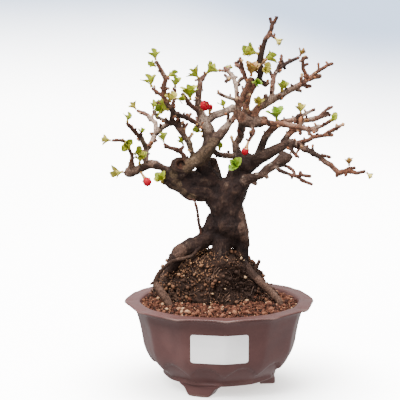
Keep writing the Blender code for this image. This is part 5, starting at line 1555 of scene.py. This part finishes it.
# Close about the bowl it glows least, a painted soft shadow, so that the bowl's soft shadow shows.
PAPER_NEAR = (0.02, 0.18)
PAPER_SHADE = (0.11, 0.105, 0.098)
# Soft lights: place, watts and size in metres. They aim at the tree's middle.
LIGHTS = {
    "key": ((-0.9, -1.3, 1.9), 100, 0.8),
    "fill": ((1.4, -1.2, 1.1), 14, 1.3),
    "top": ((0.1, 0.1, 1.9), 115, 1.2),
}
LIGHT_AIM = Vector((0, 0, 0.15))
WORLD_LIGHT = 1.15
SENSOR = 36.0
FOCAL_PIXELS = 1519
PHOTO_PIXELS = 400


class StageSettings(bpy.types.PropertyGroup):
    floor: colour_property("Floor", "The pale floor and backdrop", (0.8, 0.8, 0.8))
    light: FloatProperty(
        name="Light", description="Strength of the soft studio lights", default=1.0, min=0)


class BONSAI_OT_stage(bpy.types.Operator):
    """Floor, lights and camera"""
    bl_idname = "bonsai.stage"
    bl_label = "Stage"

    def execute(self, context):
        settings = context.scene.bonsai_stage
        lens = bpy.data.cameras.new("view")
        lens.sensor_width = SENSOR
        lens.lens = SENSOR * FOCAL_PIXELS / PHOTO_PIXELS
        context.scene.camera = self.link("view", lens, AXIS + EYE_OFFSET)
        context.scene.camera.rotation_euler = (math.pi / 2 - EYE_PITCH, 0, EYE_YAW)
        floor = self.link("studio_paper", self.cove(), (0, 0, 0))
        floor.data.materials.append(self.paper(settings))
        floor.data.shade_smooth()
        floor.visible_diffuse = False
        floor.visible_glossy = False
        for name, (place, power, size) in LIGHTS.items():
            lamp = bpy.data.lights.new(name, "AREA")
            lamp.energy = power * settings.light
            lamp.size = size
            made = self.link(name, lamp, place)
            made.rotation_euler = (LIGHT_AIM - made.location).to_track_quat("-Z", "Y").to_euler()
        world = bpy.data.worlds.new("studio")
        world.use_nodes = True
        sky = world.node_tree.nodes["Background"].inputs
        sky["Color"].default_value = (1, 1, 1, 1)
        sky["Strength"].default_value = WORLD_LIGHT
        context.scene.world = world
        return {"FINISHED"}

    def link(self, name, data, place):
        made = bpy.data.objects.new(name, data)
        made.location = place
        bpy.context.scene.collection.objects.link(made)
        return made

    def paper(self, settings):
        paint = Paint("Studio paper", 0.9, 0.1, {"Emission Strength": PAPER_GLOW})
        away = paint.add("ShaderNodeVectorMath", {"operation": "LENGTH"}, (paint.spot(),), "Value")
        height = paint.along(2) + paint.band(paint.along(0), *PAPER_RIGHT) * paint.band(
            away, *PAPER_FAR) * PAPER_LIFT
        fade = paint.band(height, *PAPER_FADE)
        glow = paint.mix(paint.band(away, *PAPER_NEAR), PAPER_SHADE, PAPER_LOW)
        paint.feed(paint.shader.inputs["Emission Color"], paint.mix(fade, glow, PAPER_HIGH))
        tint = paint.mix(paint.cloud(4 * MM, 2) * 0.04, settings.floor, PAPER_GRAIN)
        return paint.finish(paint.mix(fade, tint, PAPER_COOL))

    def cove(self):
        """The paper's mesh, a profile of places out and up that is turned about the bowl."""
        flat = COVE_RADIUS - COVE_BEND
        bend = np.radians(np.arange(1, COVE_STEPS + 1) * 90 / COVE_STEPS)
        profile = [(COVE_START, 0.0), (flat, 0.0)]
        profile += [(flat + COVE_BEND * math.sin(turn), COVE_BEND * (1 - math.cos(turn)))
                    for turn in bend]
        profile += [(COVE_RADIUS, COVE_HEIGHT)]
        turns = [TURN * column / COVE_COLUMNS for column in range(COVE_COLUMNS)]
        points = [(out * math.cos(turn), out * math.sin(turn), up - COVE_DROP)
                  for out, up in profile for turn in turns]
        return bare_mesh("studio_paper", points, tube_faces(len(profile), COVE_COLUMNS)[:-1])


class BONSAI_PT_panel(bpy.types.Panel):
    """Lists the bonsai's pieces"""
    bl_label = "Flowering Quince Bonsai"
    bl_idname = "BONSAI_PT_panel"
    bl_space_type = "VIEW_3D"
    bl_region_type = "UI"
    bl_category = "Bonsai"

    def draw(self, context):
        for group, settings, operators in LAYOUT:
            box = self.layout.box()
            for name in settings.__annotations__:
                box.prop(getattr(context.scene, group), name)
            for operator in operators:
                box.operator(operator.bl_idname)


LAYOUT = (
    ("bonsai_stage", StageSettings, (BONSAI_OT_stage,)),
    ("bonsai_wood", WoodSettings, (BONSAI_OT_wood,)),
    ("bonsai_bowl", BowlSettings, (BONSAI_OT_bowl, BONSAI_OT_label)),
    ("bonsai_soil", SoilSettings, (BONSAI_OT_soil, BONSAI_OT_grit)),
    ("bonsai_leaves", LeafSettings, (BONSAI_OT_leaves, BONSAI_OT_flowers)),
)


def register():
    for group, settings, operators in LAYOUT:
        bpy.utils.register_class(settings)
        setattr(bpy.types.Scene, group, PointerProperty(type=settings))
        for operator in operators:
            bpy.utils.register_class(operator)
    bpy.utils.register_class(BONSAI_PT_panel)


def unregister():
    bpy.utils.unregister_class(BONSAI_PT_panel)
    for group, settings, operators in reversed(LAYOUT):
        for operator in reversed(operators):
            bpy.utils.unregister_class(operator)
        delattr(bpy.types.Scene, group)
        bpy.utils.unregister_class(settings)


def main():
    register()
    for _, _, operators in LAYOUT:
        for operator in operators:
            group, name = operator.bl_idname.split(".")
            getattr(getattr(bpy.ops, group), name)()


if __name__ == "__main__":
    main()
